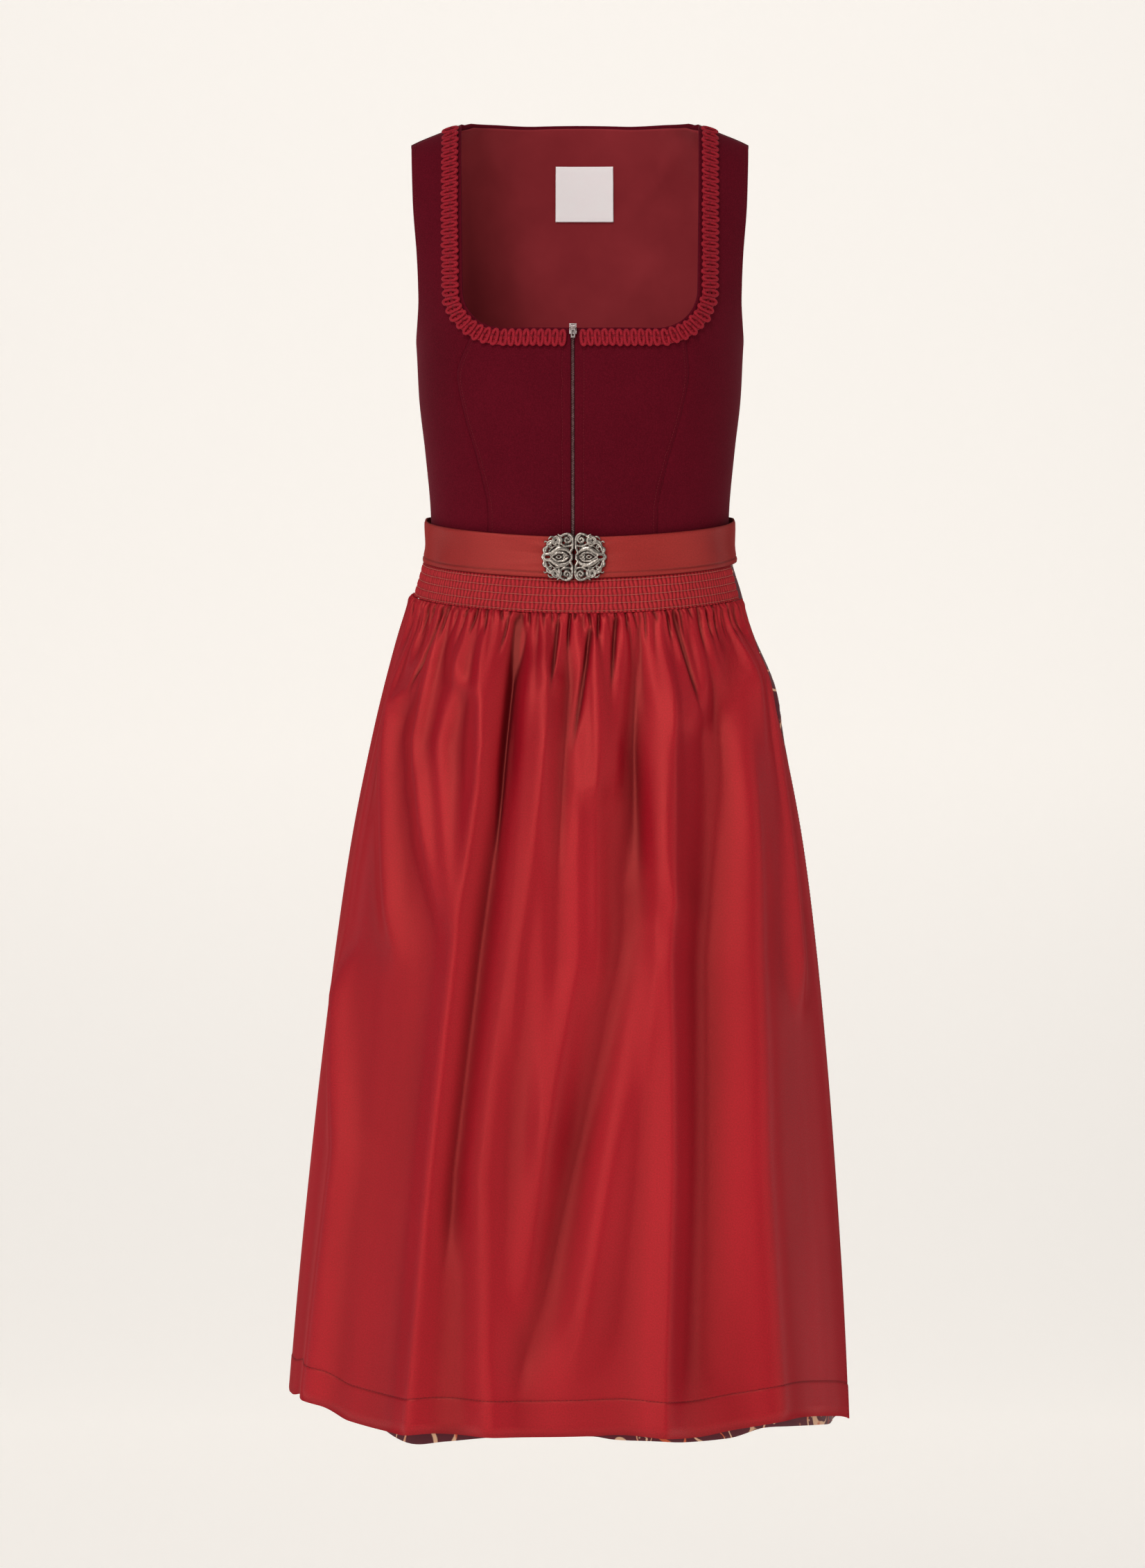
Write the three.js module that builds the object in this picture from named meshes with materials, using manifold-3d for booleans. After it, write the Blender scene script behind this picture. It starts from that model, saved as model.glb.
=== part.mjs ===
import * as THREE from 'three';
import { mergeVertices } from 'three/addons/utils/BufferGeometryUtils.js';
import Module from 'manifold-3d';

// Sizes are in millimetres. The front faces -Y, +X is the viewer's right and +Z is up.
// The origin lies midway between the two shoulder seams, at mid shoulder height.
// A bearing is an angle round the body in degrees: 0 at the front, 90 at +X, 180 at the back.

const SEAM_GAP = 0.3;
const FELT = 2.0;
const SKIRT_CLOTH = 1.2;
const LINING_CLOTH = 1.0;

const CENTRE_Y = 8;
const HEM_LEAN = { x: -7.5, from: 450, to: 1140 };
const SHOULDER_HOLDS = { from: 150, to: 300 };
const SHOULDER_NECK = { x: 106, z: 9 };
const SHOULDER_TIP = { x: 151, z: -9 };
const BACK_ROOT_RISE = 66;
const BACK_NECK_Z = 20;

const NECK_BOTTOM_Z = -188;
const NECK_BOTTOM_HALF = 103;
const NECK_CORNER_RADIUS = 38;
const ZIP_X = -6.3;
const ZIP_GROOVE_HALF = 1.7;
const UNDERARM = { z: -192, bearing: 88 };
const SIDE_SEAM_WAIST_BEARING = 84;
const BACK_SEAM_ON_ARMHOLE = 0.62;

const WAIST_Z = -380;
const BELT_TOP_SIDE_Z = -337;
const BELT_DIP = 30;
const BELT_WIDTH = 37;
const BELT_CLOTH = 2.0;
const BELT_STANDS = 6.2;
const SMOCK_TOP_DROP = 30;
const SMOCK_BOTTOM_DROP = 68;
const SMOCK_Z = -400;
const SMOCK_RIBS = 80;
const SMOCK_RIB_HEIGHT = 1.3;
const APRON_HEM_Z = -1133;
const SKIRT_HEM_Z = -1138;
const APRON_LEFT_BEARING = -97;

const BRAID_WIDTH = 15;
const BRAID_INSET = 1.5;
const BRAID_PITCH = 6.5;
const BRAID_THICK = 1.8;
const BRAID_SCALLOP = 0.9;
const BRAID_FROM_ZIP = 6;
const BRAID_BASE = 0.9;
const BRAID_DIP = 0.35;

// Columns and rows of the bodice panels' grids.
const PANEL = { rows: 9, frontColumns: 6, sideColumns: 8, backColumns: 14, yokeRows: 5 };

const COLOURS = {
  felt: 0x5c0f20,
  braid: 0xb02436,
  lining: 0x761e26,
  label: 0xe6cfc6,
  belt: 0xb0403a,
  smock: 0xb83236,
  apron: 0xa81e2c,
  print: 0x5a1222,
  silver: 0x9a948c,
  tape: 0x4a0c18,
};

// Half width of the body and squareness of its cross section at each height.
const RINGS = [
  { z: -1140, halfWidth: 233, square: 2.2 },
  { z: -1030, halfWidth: 226, square: 2.2 },
  { z: -930, halfWidth: 218.7, square: 2.2 },
  { z: -831, halfWidth: 210.7, square: 2.2 },
  { z: -733, halfWidth: 201.5, square: 2.2 },
  { z: -633, halfWidth: 189.6, square: 2.2 },
  { z: -534, halfWidth: 172.7, square: 2.2 },
  { z: -460, halfWidth: 156, square: 2.2 },
  { z: -411, halfWidth: 142, square: 2.3 },
  { z: -387, halfWidth: 136, square: 2.4 },
  { z: -365, halfWidth: 132.6, square: 2.5 },
  { z: -340, halfWidth: 133.3, square: 2.6 },
  { z: -287, halfWidth: 138, square: 2.6 },
  { z: -237, halfWidth: 143.6, square: 2.6 },
  { z: -192, halfWidth: 146, square: 2.6 },
  { z: -114, halfWidth: 154, square: 2.6 },
  { z: -64, halfWidth: 157, square: 2.6 },
  { z: 20, halfWidth: 158, square: 2.6 },
];

// How far the front and the back stand from the side plane, by depth below the shoulder line.
const DEPTHS = [
  { below: 0, front: 0, back: 0 },
  { below: 2, front: 9, back: 10 },
  { below: 8, front: 22, back: 25 },
  { below: 20, front: 38, back: 42 },
  { below: 50, front: 58, back: 66 },
  { below: 100, front: 82, back: 86 },
  { below: 150, front: 102, back: 93 },
  { below: 200, front: 117, back: 92 },
  { below: 240, front: 119, back: 88 },
  { below: 300, front: 110, back: 82 },
  { below: 350, front: 102, back: 80 },
  { below: 385, front: 99, back: 84 },
  { below: 422, front: 104.5, back: 96 },
  { below: 494, front: 117, back: 118 },
  { below: 555, front: 125, back: 133 },
  { below: 642, front: 133.5, back: 148 },
  { below: 742, front: 141, back: 160 },
  { below: 841, front: 147.5, back: 169 },
  { below: 940, front: 153, back: 177 },
  { below: 1039, front: 158.5, back: 184 },
  { below: 1145, front: 163, back: 191 },
];
const CUP = { x: 80, z: -215, stands: 8, spread: 45 };

// Armhole edge, front and back, from the underarm (way 0) to the shoulder tip (way 1).
const ARMHOLE = [
  { way: 0, frontZ: -192, front: 88, backZ: -192, back: 88 },
  { way: 0.12, frontZ: -188, front: 80.5, backZ: -190, back: 97 },
  { way: 0.25, frontZ: -176, front: 72, backZ: -179, back: 107 },
  { way: 0.4, frontZ: -152, front: 65.5, backZ: -154, back: 113.5 },
  { way: 0.6, frontZ: -112, front: 63, backZ: -112, back: 117 },
  { way: 0.8, frontZ: -60, front: 64.5, backZ: -60, back: 115.5 },
  { way: 1, frontZ: -9, front: 66, backZ: -9, back: 114 },
];

// Distance of the front seam from the zip, and of the back seam from the centre, by height.
const FRONT_SEAM = [
  { z: -390, fromZip: 74 },
  { z: -347, fromZip: 74 },
  { z: -301, fromZip: 83 },
  { z: -259, fromZip: 95 },
  { z: -224, fromZip: 101 },
  { z: -177, fromZip: 97.5 },
];
const BACK_SEAM = [
  { way: 0, z: -355, x: 52 },
  { way: 0.2, z: -310, x: 55 },
  { way: 0.4, z: -250, x: 63 },
  { way: 0.6, z: -190, x: 76 },
  { way: 0.75, z: -150, x: 88 },
  { way: 0.87, z: -121, x: 104 },
  { way: 1, z: -107.7, x: 143 },
];

// Bearing of the apron's right edge, and how far the apron stands off the skirt, by height.
const APRON = [
  { z: -1140, rightEdge: 72, stands: 19 },
  { z: -1000, rightEdge: 78, stands: 16.5 },
  { z: -800, rightEdge: 83, stands: 13 },
  { z: -650, rightEdge: 84, stands: 10 },
  { z: -548, rightEdge: 82, stands: 7 },
  { z: -470, rightEdge: 73, stands: 4.6 },
  { z: -400, rightEdge: 67, stands: 3 },
];

// Drops below the smocking at which the fold tables give the bearings of a crest or a trough.
const FOLD_DROPS = [0, 120, 300, 480, 690];

// Folds of the apron, from its left edge to its right: bearings at those drops, the drops
// where the fold starts and ends, its width along the cloth, and its height.
const APRON_FOLDS = [
  { at: [-69, -62, -46, -46, -46], from: 20, to: 330, width: 15, height: 7 },
  { at: [-78, -77, -69, -57, -60], from: 200, to: 760, width: 22, height: 12 },
  { at: [-46, -48, -29, -28, -28], from: -20, to: 300, width: 12, height: 7 },
  { at: [-34, -39, -27, -27, -27], from: 0, to: 290, width: 10, height: 5 },
  { at: [-31, -25, -28, -30, -32], from: -10, to: 780, width: 17, height: 12 },
  { at: [-19, -19, -23, -26, -27], from: -20, to: 580, width: 11, height: -7 },
  { at: [-15, -14, -16, -19, -16], from: 10, to: 780, width: 18, height: 9 },
  { at: [-7, -9, -13.5, -15, -15], from: 0, to: 400, width: 9, height: 3 },
  { at: [-7, -8, -8, -7, -11], from: 50, to: 640, width: 16, height: 7 },
  { at: [-1, -4, -6, -6, -6], from: 10, to: 240, width: 9, height: -3 },
  { at: [-1, -1, 0, -6, -6], from: 60, to: 500, width: 14, height: 7 },
  { at: [3, 4, 5, 0, 0], from: -10, to: 350, width: 10, height: 5 },
  { at: [13, 10, 6, 6, 6], from: 0, to: 190, width: 10, height: 5 },
  { at: [18, 15, 15, 15, 15], from: -20, to: 250, width: 10, height: -6 },
  { at: [17, 18, 18, 13, 13], from: 60, to: 420, width: 9, height: 3 },
  { at: [28, 24.5, 21, 20.5, 18], from: 20, to: 780, width: 18, height: 13 },
  { at: [17, 17, 13.5, 7, -1], from: 240, to: 660, width: 18, height: 8 },
  { at: [18, 18, 12.5, 0, -13], from: 230, to: 680, width: 20, height: -8 },
  { at: [54, 48, 43, 41, 42], from: 10, to: 780, width: 26, height: 13 },
  { at: [57, 61, 60, 60, 60], from: 10, to: 380, width: 17, height: 8 },
  { at: [50, 40, 30.5, 28, 25], from: 30, to: 700, width: 20, height: -6 },
];

// Large folds of the skirt, where the apron does not cover it.
const SKIRT_FOLDS = [
  { at: [84, 86, 92, 95, 96], from: 20, to: 780, width: 20, height: 10 },
  { at: [103, 105, 109, 112, 113], from: 60, to: 780, width: 19, height: 13 },
  { at: [121, 122, 124, 128, 131], from: 10, to: 780, width: 17, height: 14 },
  { at: [138, 138, 140, 144, 145], from: 90, to: 780, width: 21, height: 11 },
  { at: [152, 153, 156, 157, 158], from: 30, to: 780, width: 16, height: 15 },
  { at: [171, 170, 168, 171, 173], from: 50, to: 780, width: 20, height: 12 },
  { at: [184, 186, 188, 187, 187], from: 20, to: 780, width: 16, height: 15 },
  { at: [201, 200, 202, 203, 201], from: 120, to: 780, width: 18, height: 12 },
  { at: [215, 216, 217, 216, 216], from: 10, to: 780, width: 20, height: 14 },
  { at: [232, 231, 230, 232, 231], from: 70, to: 780, width: 17, height: 13 },
  { at: [246, 246, 247, 246, 245], from: 40, to: 780, width: 18, height: 10 },
];
const FOLD_FADE = 70;

const APRON_GATHERS = { count: 38, height: 3.6, fade: 105 };
const SKIRT_GATHERS = { count: 40, height: 3.4, fade: 165, underApron: 0.18 };
const GATHER_DRIFT = { quick: 0.37, slow: 0.11, share: 0.25 };
const WAIST_APART = { from: 14, to: 50, share: 0.25 };

const degrees = Math.PI / 180;

function lerp(a, b, way) {
  return a + (b - a) * way;
}

function smoothstep(from, to, value) {
  const way = Math.min(1, Math.max(0, (value - from) / (to - from)));
  return way * way * (3 - 2 * way);
}

// A smooth curve without overshoot through one column of a table, read at its key column.
function curveOf(rows, key, column) {
  const xs = rows.map((row) => row[key]);
  const ys = rows.map((row) => row[column]);
  const steps = xs.slice(1).map((x, i) => (ys[i + 1] - ys[i]) / (x - xs[i]));
  const slopes = ys.map((y, i) => {
    const before = steps[Math.max(0, i - 1)];
    const after = steps[Math.min(steps.length - 1, i)];
    return before * after <= 0 ? 0 : (2 * before * after) / (before + after);
  });
  return (value) => {
    const x = Math.min(xs[xs.length - 1], Math.max(xs[0], value));
    let i = 0;
    while (i < steps.length - 1 && x > xs[i + 1]) i += 1;
    const span = xs[i + 1] - xs[i];
    const s = (x - xs[i]) / span;
    const s2 = s * s;
    const s3 = s2 * s;
    const start = (2 * s3 - 3 * s2 + 1) * ys[i] + (s3 - 2 * s2 + s) * span * slopes[i];
    return start + (3 * s2 - 2 * s3) * ys[i + 1] + (s3 - s2) * span * slopes[i + 1];
  };
}

const halfWidthAt = curveOf(RINGS, 'z', 'halfWidth');
const squareAt = curveOf(RINGS, 'z', 'square');
const frontDepthAt = curveOf(DEPTHS, 'below', 'front');
const backDepthAt = curveOf(DEPTHS, 'below', 'back');
const frontSeamAt = curveOf(FRONT_SEAM, 'z', 'fromZip');
const backSeamZ = curveOf(BACK_SEAM, 'way', 'z');
const backSeamX = curveOf(BACK_SEAM, 'way', 'x');
const apronRightEdgeAt = curveOf(APRON, 'z', 'rightEdge');
const apronStandsAt = curveOf(APRON, 'z', 'stands');

// Height of the line that the cloth hangs from: the shoulder seams, and the root of the neck behind.
function shoulderLine(x, isBack) {
  const away = Math.abs(x);
  if (away > SHOULDER_NECK.x) {
    const way = (away - SHOULDER_NECK.x) / (SHOULDER_TIP.x - SHOULDER_NECK.x);
    return lerp(SHOULDER_NECK.z, SHOULDER_TIP.z, way);
  }
  const rise = isBack ? BACK_ROOT_RISE * (1 - (away / SHOULDER_NECK.x) ** 2) : 0;
  return SHOULDER_NECK.z + rise;
}

// A point of the body's form at a bearing and a height.
function form(bearing, z) {
  const s = Math.sin(bearing * degrees);
  const c = Math.cos(bearing * degrees);
  const square = squareAt(z);
  const unit = (Math.abs(s) ** square + Math.abs(c) ** square) ** (1 / square);
  const x = (halfWidthAt(z) * s) / unit;
  const isBack = c < 0;
  const held = 1 - smoothstep(SHOULDER_HOLDS.from, SHOULDER_HOLDS.to, -z);
  const below = Math.max(0, shoulderLine(x, isBack) * held - z);
  const depth = isBack ? backDepthAt(below) : frontDepthAt(below);
  const fromCup = ((Math.abs(x) - CUP.x) ** 2 + (z - CUP.z) ** 2) / (2 * CUP.spread ** 2);
  const cup = isBack ? 0 : CUP.stands * Math.exp(-fromCup);
  const lean = HEM_LEAN.x * smoothstep(HEM_LEAN.from, HEM_LEAN.to, -z);
  return new THREE.Vector3(lean + x, CENTRE_Y - ((depth + cup) * c) / unit, z);
}

function formNormal(bearing, z) {
  const across = form(bearing + 0.5, z).sub(form(bearing - 0.5, z));
  const up = form(bearing, z + 1).sub(form(bearing, z - 1));
  return across.cross(up).normalize();
}

// The bearing at which the form reaches a sideways distance.
function bearingOf(x, z, isBack) {
  const share = Math.min(0.9999, Math.abs(x) / halfWidthAt(z));
  const square = squareAt(z);
  const other = (1 - share ** square) ** (1 / square);
  const bearing = Math.atan2(share, other) / degrees;
  return isBack ? 180 - Math.sign(x) * bearing : Math.sign(x) * bearing;
}

function beltTop(bearing) {
  return BELT_TOP_SIDE_Z - BELT_DIP * (0.5 + 0.5 * Math.cos(bearing * degrees)) ** 2;
}

function waistSeam(bearing) {
  return beltTop(bearing) - BELT_WIDTH / 2;
}

function smockBottom(bearing) {
  return beltTop(bearing) - SMOCK_BOTTOM_DROP;
}

// A patch between four edge curves, each giving a bearing and a height.
function patch(left, right, bottom, top) {
  const corners = [left(0), right(0), left(1), right(1)];
  return (u, v) => [0, 1].map((i) => {
    const sides = lerp(left(v)[i], right(v)[i], u);
    const ends = lerp(bottom(u)[i], top(u)[i], v);
    const low = lerp(corners[0][i], corners[1][i], u);
    const high = lerp(corners[2][i], corners[3][i], u);
    return sides + ends - lerp(low, high, v);
  });
}

// Rows of outer points over a patch, standing off the form by an amount that may vary.
function gridOver(place, columns, rows, stands = () => 0) {
  const grid = [];
  for (let row = 0; row <= rows; row += 1) {
    const line = [];
    for (let column = 0; column <= columns; column += 1) {
      const [bearing, z] = place(column / columns, row / rows);
      const normal = formNormal(bearing, z);
      const point = form(bearing, z).addScaledVector(normal, stands(bearing, z, column));
      line.push({ point, normal });
    }
    grid.push(line);
  }
  return grid;
}

// Inner points a wall's thickness behind the outer ones. Inside a folded wall they follow
// the folds; at its edges they follow the form, so that neighbours keep their gap.
function innerOf(grid, thickness, isFolded = false) {
  const last = grid[0].length - 1;
  return grid.map((line, row) => line.map(({ point, normal }, column) => {
    let away = normal;
    if (isFolded && column > 0 && column < last) {
      const across = line[column + 1].point.clone().sub(line[column - 1].point);
      const above = grid[Math.min(grid.length - 1, row + 1)][column].point;
      const up = above.clone().sub(grid[Math.max(0, row - 1)][column].point);
      away = across.cross(up).normalize();
    }
    return { point: point.clone().addScaledVector(away, -thickness), normal };
  }));
}

// Draws the edges of a pair of grids back from a seam by half the gap.
function drawBack(grids, edges) {
  const [outer] = grids;
  const lastRow = outer.length - 1;
  const lastColumn = outer[0].length - 1;
  const moves = [];
  const plan = (row, column, toRow, toColumn) => {
    const inward = outer[toRow][toColumn].point.clone().sub(outer[row][column].point);
    moves.push([row, column, inward.setLength(SEAM_GAP / 2 + 0.05)]);
  };
  for (let row = 0; row <= lastRow; row += 1) {
    if (edges.left) plan(row, 0, row, 1);
    if (edges.right) plan(row, lastColumn, row, lastColumn - 1);
  }
  for (let column = 0; column <= lastColumn; column += 1) {
    if (edges.bottom) plan(0, column, 1, column);
    if (edges.top) plan(lastRow, column, lastRow - 1, column);
  }
  moves.forEach(([row, column, move]) => grids.forEach((grid) => grid[row][column].point.add(move)));
}

// A closed wall between an outer and an inner grid with the same columns.
function wallGeometry(outer, inner) {
  const positions = [];
  const faces = [];
  const indexOf = (grid) => grid.map((line) => line.map(({ point }) => {
    positions.push(point.x, point.y, point.z);
    return positions.length / 3 - 1;
  }));
  const at = (index) => new THREE.Vector3().fromArray(positions, index * 3);
  const span = (a, b) => at(a).distanceTo(at(b));
  const skin = (ids, flip) => {
    for (let row = 0; row + 1 < ids.length; row += 1) {
      for (let column = 0; column + 1 < ids[row].length; column += 1) {
        const [a, b] = [ids[row][column], ids[row][column + 1]];
        const [d, c] = [ids[row + 1][column], ids[row + 1][column + 1]];
        const pair = span(a, c) <= span(b, d) ? [[a, b, c], [a, c, d]] : [[a, b, d], [b, c, d]];
        pair.forEach(([p, q, r]) => faces.push(...(flip ? [p, r, q] : [p, q, r])));
      }
    }
  };
  // Joins an outer edge to an inner edge that may have fewer points.
  const rim = (from, to) => {
    let i = 0;
    let j = 0;
    while (i + 1 < from.length || j + 1 < to.length) {
      const outerNext = (i + 1) / Math.max(1, from.length - 1);
      const innerNext = (j + 1) / Math.max(1, to.length - 1);
      if (j + 1 >= to.length || (i + 1 < from.length && outerNext <= innerNext)) {
        faces.push(from[i], to[j], from[i + 1]);
        i += 1;
      } else {
        faces.push(from[i], to[j], to[j + 1]);
        j += 1;
      }
    }
  };
  const outerIds = indexOf(outer);
  const innerIds = indexOf(inner);
  skin(outerIds, false);
  skin(innerIds, true);
  const first = (ids) => ids.map((line) => line[0]);
  const last = (ids) => ids.map((line) => line[line.length - 1]);
  rim(outerIds[0], innerIds[0]);
  rim(last(outerIds), last(innerIds));
  rim([...outerIds[outerIds.length - 1]].reverse(), [...innerIds[innerIds.length - 1]].reverse());
  rim(first(outerIds).reverse(), first(innerIds).reverse());
  const geometry = new THREE.BufferGeometry();
  geometry.setAttribute('position', new THREE.Float32BufferAttribute(positions, 3));
  geometry.setIndex(faces);
  geometry.computeVertexNormals();
  return geometry;
}

const dirndl = new THREE.Group();

function addMesh(name, geometry, colour, roughness = 0.8, metalness = 0) {
  const material = new THREE.MeshStandardMaterial({ color: colour, roughness, metalness });
  const mesh = new THREE.Mesh(geometry, material);
  mesh.name = name;
  dirndl.add(mesh);
  return mesh;
}

function addPanel(name, grid, thickness, colour, edges, isFolded = false) {
  const inner = innerOf(grid, thickness, isFolded);
  drawBack([grid, inner], edges);
  addMesh(name, wallGeometry(grid, inner), colour);
}

// Two sides of the same piece: the left one's columns run the other way.
function mirrored(side, grid) {
  return side > 0 ? grid : grid.map((line) => [...line].reverse());
}

function mirroredEdges(side, edges) {
  return side > 0 ? edges : { ...edges, left: edges.right, right: edges.left };
}

const SIDES = [{ side: 1, word: 'right' }, { side: -1, word: 'left' }];

// Lengths of the neck edge from the zip: the level part, the round corner and the strap.
function neckSizes(side) {
  const flat = NECK_BOTTOM_HALF - NECK_CORNER_RADIUS - side * ZIP_X;
  const arc = (NECK_CORNER_RADIUS * Math.PI) / 2;
  const rise = SHOULDER_NECK.z - NECK_BOTTOM_Z - NECK_CORNER_RADIUS;
  return { flat, arc, rise, length: flat + arc + rise };
}

// The neck edge in the front view, from the zip (way 0) round the corner to the shoulder (way 1).
// A distance moves the line out onto the cloth.
function neckLine(side, way, out = 0) {
  const { flat, arc, rise, length } = neckSizes(side);
  const cornerX = NECK_BOTTOM_HALF - NECK_CORNER_RADIUS;
  const cornerZ = NECK_BOTTOM_Z + NECK_CORNER_RADIUS;
  const run = way * length;
  if (run <= flat) return { x: ZIP_X + side * run, z: NECK_BOTTOM_Z - out };
  if (run <= flat + arc) {
    const turn = (run - flat) / NECK_CORNER_RADIUS;
    const radius = NECK_CORNER_RADIUS + out;
    return { x: side * (cornerX + radius * Math.sin(turn)), z: cornerZ - radius * Math.cos(turn) };
  }
  const up = (run - flat - arc) / rise;
  const x = lerp(NECK_BOTTOM_HALF, SHOULDER_NECK.x, up) + out;
  return { x: side * x, z: lerp(cornerZ, shoulderLine(x, false), up) };
}

// Where the front seam meets the neck: the middle of the round corner.
function seamOnNeck(side) {
  const { flat, arc, length } = neckSizes(side);
  return (flat + arc / 2) / length;
}

function neckPlace(side, way, out = 0) {
  const { x, z } = neckLine(side, way, out);
  return [bearingOf(x, z, false), z];
}

function frontSeam(side) {
  const topWay = seamOnNeck(side);
  const topPoint = neckLine(side, topWay);
  return (way) => {
    const lowX = ZIP_X + side * FRONT_SEAM[0].fromZip;
    const lowZ = waistSeam(bearingOf(lowX, WAIST_Z, false));
    const z = lerp(lowZ, topPoint.z, way);
    const near = smoothstep(0.75, 1, way);
    const x = lerp(ZIP_X + side * frontSeamAt(z), topPoint.x, near);
    return [bearingOf(x, z, false), z];
  };
}

function sideSeam(side) {
  return (way) => {
    const bearing = lerp(SIDE_SEAM_WAIST_BEARING, UNDERARM.bearing, way);
    return [side * bearing, lerp(waistSeam(bearing), UNDERARM.z, way)];
  };
}

function backSeam(side) {
  return (way) => {
    const z = way === 0 ? waistSeam(180) : backSeamZ(way);
    const bearing = bearingOf(backSeamX(way), z, true);
    const joined = smoothstep(0.87, 1, way);
    const [armBearing, armZ] = armholeBack(1)(BACK_SEAM_ON_ARMHOLE);
    return [backBearing(side, lerp(bearing, armBearing, joined)), lerp(z, armZ, joined)];
  };
}

// Bearings behind run from 90 on the right to 270 on the left.
function backBearing(side, bearing) {
  return side > 0 ? bearing : 360 - bearing;
}

function armholeFront(side) {
  const bearing = curveOf(ARMHOLE, 'way', 'front');
  const height = curveOf(ARMHOLE, 'way', 'frontZ');
  return (way) => [side * bearing(way), height(way)];
}

function armholeBack(side) {
  const bearing = curveOf(ARMHOLE, 'way', 'back');
  const height = curveOf(ARMHOLE, 'way', 'backZ');
  return (way) => [backBearing(side, bearing(way)), height(way)];
}

function waistBetween(from, to) {
  return (way) => {
    const bearing = lerp(from, to, way);
    return [bearing, waistSeam(bearing)];
  };
}

function lineBetween(a, b) {
  return (way) => [lerp(a[0], b[0], way), lerp(a[1], b[1], way)];
}

function stack(low, high) {
  return [...low, ...high.slice(1)];
}

function buildFrontCentre(side, word) {
  const seam = frontSeam(side);
  const zipEdgeX = ZIP_X + side * ZIP_GROOVE_HALF;
  const edgePlace = (z) => [bearingOf(zipEdgeX, z, false), z];
  const lowEdge = waistSeam(bearingOf(zipEdgeX, WAIST_Z, false));
  const startWay = ZIP_GROOVE_HALF / neckSizes(side).length;
  const topWay = seamOnNeck(side);
  const place = patch(
    (v) => edgePlace(lerp(lowEdge, NECK_BOTTOM_Z, v)),
    seam,
    waistBetween(edgePlace(lowEdge)[0], seam(0)[0]),
    (u) => neckPlace(side, lerp(startWay, topWay, u)),
  );
  const grid = mirrored(side, gridOver(place, PANEL.frontColumns, PANEL.rows));
  const edges = mirroredEdges(side, { right: true, bottom: true });
  addPanel(`bodice_front_centre_${word}`, grid, FELT, COLOURS.felt, edges);
}

function shoulderSeam(side, isBack) {
  return (way) => {
    const x = side * lerp(SHOULDER_NECK.x, SHOULDER_TIP.x, way);
    const z = shoulderLine(x, false);
    const bearing = bearingOf(x, z, isBack);
    return [bearing, z];
  };
}

// Sets the inner edge of a shoulder seam straight below its outer edge.
function squareShoulder(outer, inner) {
  const top = outer.length - 1;
  outer[top].forEach(({ point }, column) => {
    if (Math.abs(point.x) >= SHOULDER_NECK.x - 1) {
      inner[top][column].point.set(point.x, point.y, point.z - FELT);
    }
  });
}

function addShoulderPanel(name, grid, edges) {
  const inner = innerOf(grid, FELT);
  squareShoulder(grid, inner);
  drawBack([grid, inner], edges);
  addMesh(name, wallGeometry(grid, inner), COLOURS.felt);
}

function buildFrontSide(side, word) {
  const seam = frontSeam(side);
  const sideEdge = sideSeam(side);
  const level = lineBetween(seam(1), sideEdge(1));
  const low = patch(seam, sideEdge, waistBetween(seam(0)[0], sideEdge(0)[0]), level);
  const neckStart = seamOnNeck(side);
  const high = patch(
    (v) => neckPlace(side, lerp(neckStart, 1, v)),
    armholeFront(side),
    level,
    shoulderSeam(side, false),
  );
  const rowsOf = (part) => gridOver(part, PANEL.frontColumns, PANEL.rows);
  const grid = stack(rowsOf(low), rowsOf(high));
  const edges = mirroredEdges(side, { left: true, right: true, bottom: true, top: true });
  addShoulderPanel(`bodice_front_side_${word}`, mirrored(side, grid), edges);
}

function buildBackSide(side, word) {
  const sideEdge = sideSeam(side);
  const signed = (way) => {
    const [bearing, z] = sideEdge(way);
    return [side > 0 ? bearing : 360 + bearing, z];
  };
  const seam = backSeam(side);
  const arm = armholeBack(side);
  const place = patch(
    signed,
    seam,
    waistBetween(signed(0)[0], seam(0)[0]),
    (u) => arm(u * BACK_SEAM_ON_ARMHOLE),
  );
  const grid = mirrored(side, gridOver(place, PANEL.sideColumns, PANEL.rows));
  const edges = mirroredEdges(side, { left: true, right: true, bottom: true });
  addPanel(`bodice_back_side_${word}`, grid, FELT, COLOURS.felt, edges);
}

function backNeckZ(x) {
  return BACK_NECK_Z - (BACK_NECK_Z - SHOULDER_NECK.z) * (x / SHOULDER_NECK.x) ** 2;
}

// The upper edge of the back, from the right shoulder tip to the left one.
function backTopEdge(way) {
  const seamShare = 2 / PANEL.backColumns;
  let x = lerp(SHOULDER_NECK.x, -SHOULDER_NECK.x, (way - seamShare) / (1 - 2 * seamShare));
  if (way < seamShare) x = lerp(SHOULDER_TIP.x, SHOULDER_NECK.x, way / seamShare);
  if (way > 1 - seamShare) x = -lerp(SHOULDER_TIP.x, SHOULDER_NECK.x, (1 - way) / seamShare);
  const isSeam = Math.abs(x) >= SHOULDER_NECK.x;
  const z = isSeam ? shoulderLine(x, false) : backNeckZ(x);
  return [bearingOf(x, z, true), z];
}

function buildBackCentre() {
  const [right, left] = [backSeam(1), backSeam(-1)];
  const level = lineBetween(right(1), left(1));
  const low = patch(right, left, waistBetween(right(0)[0], left(0)[0]), level);
  const armWay = (v) => lerp(BACK_SEAM_ON_ARMHOLE, 1, v);
  const high = patch(
    (v) => armholeBack(1)(armWay(v)),
    (v) => armholeBack(-1)(armWay(v)),
    level,
    backTopEdge,
  );
  const lowRows = gridOver(low, PANEL.backColumns, PANEL.rows);
  const highRows = gridOver(high, PANEL.backColumns, PANEL.yokeRows);
  const grid = stack(lowRows, highRows);
  addShoulderPanel('bodice_back_centre', grid, { left: true, right: true, bottom: true, top: true });
}

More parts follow.
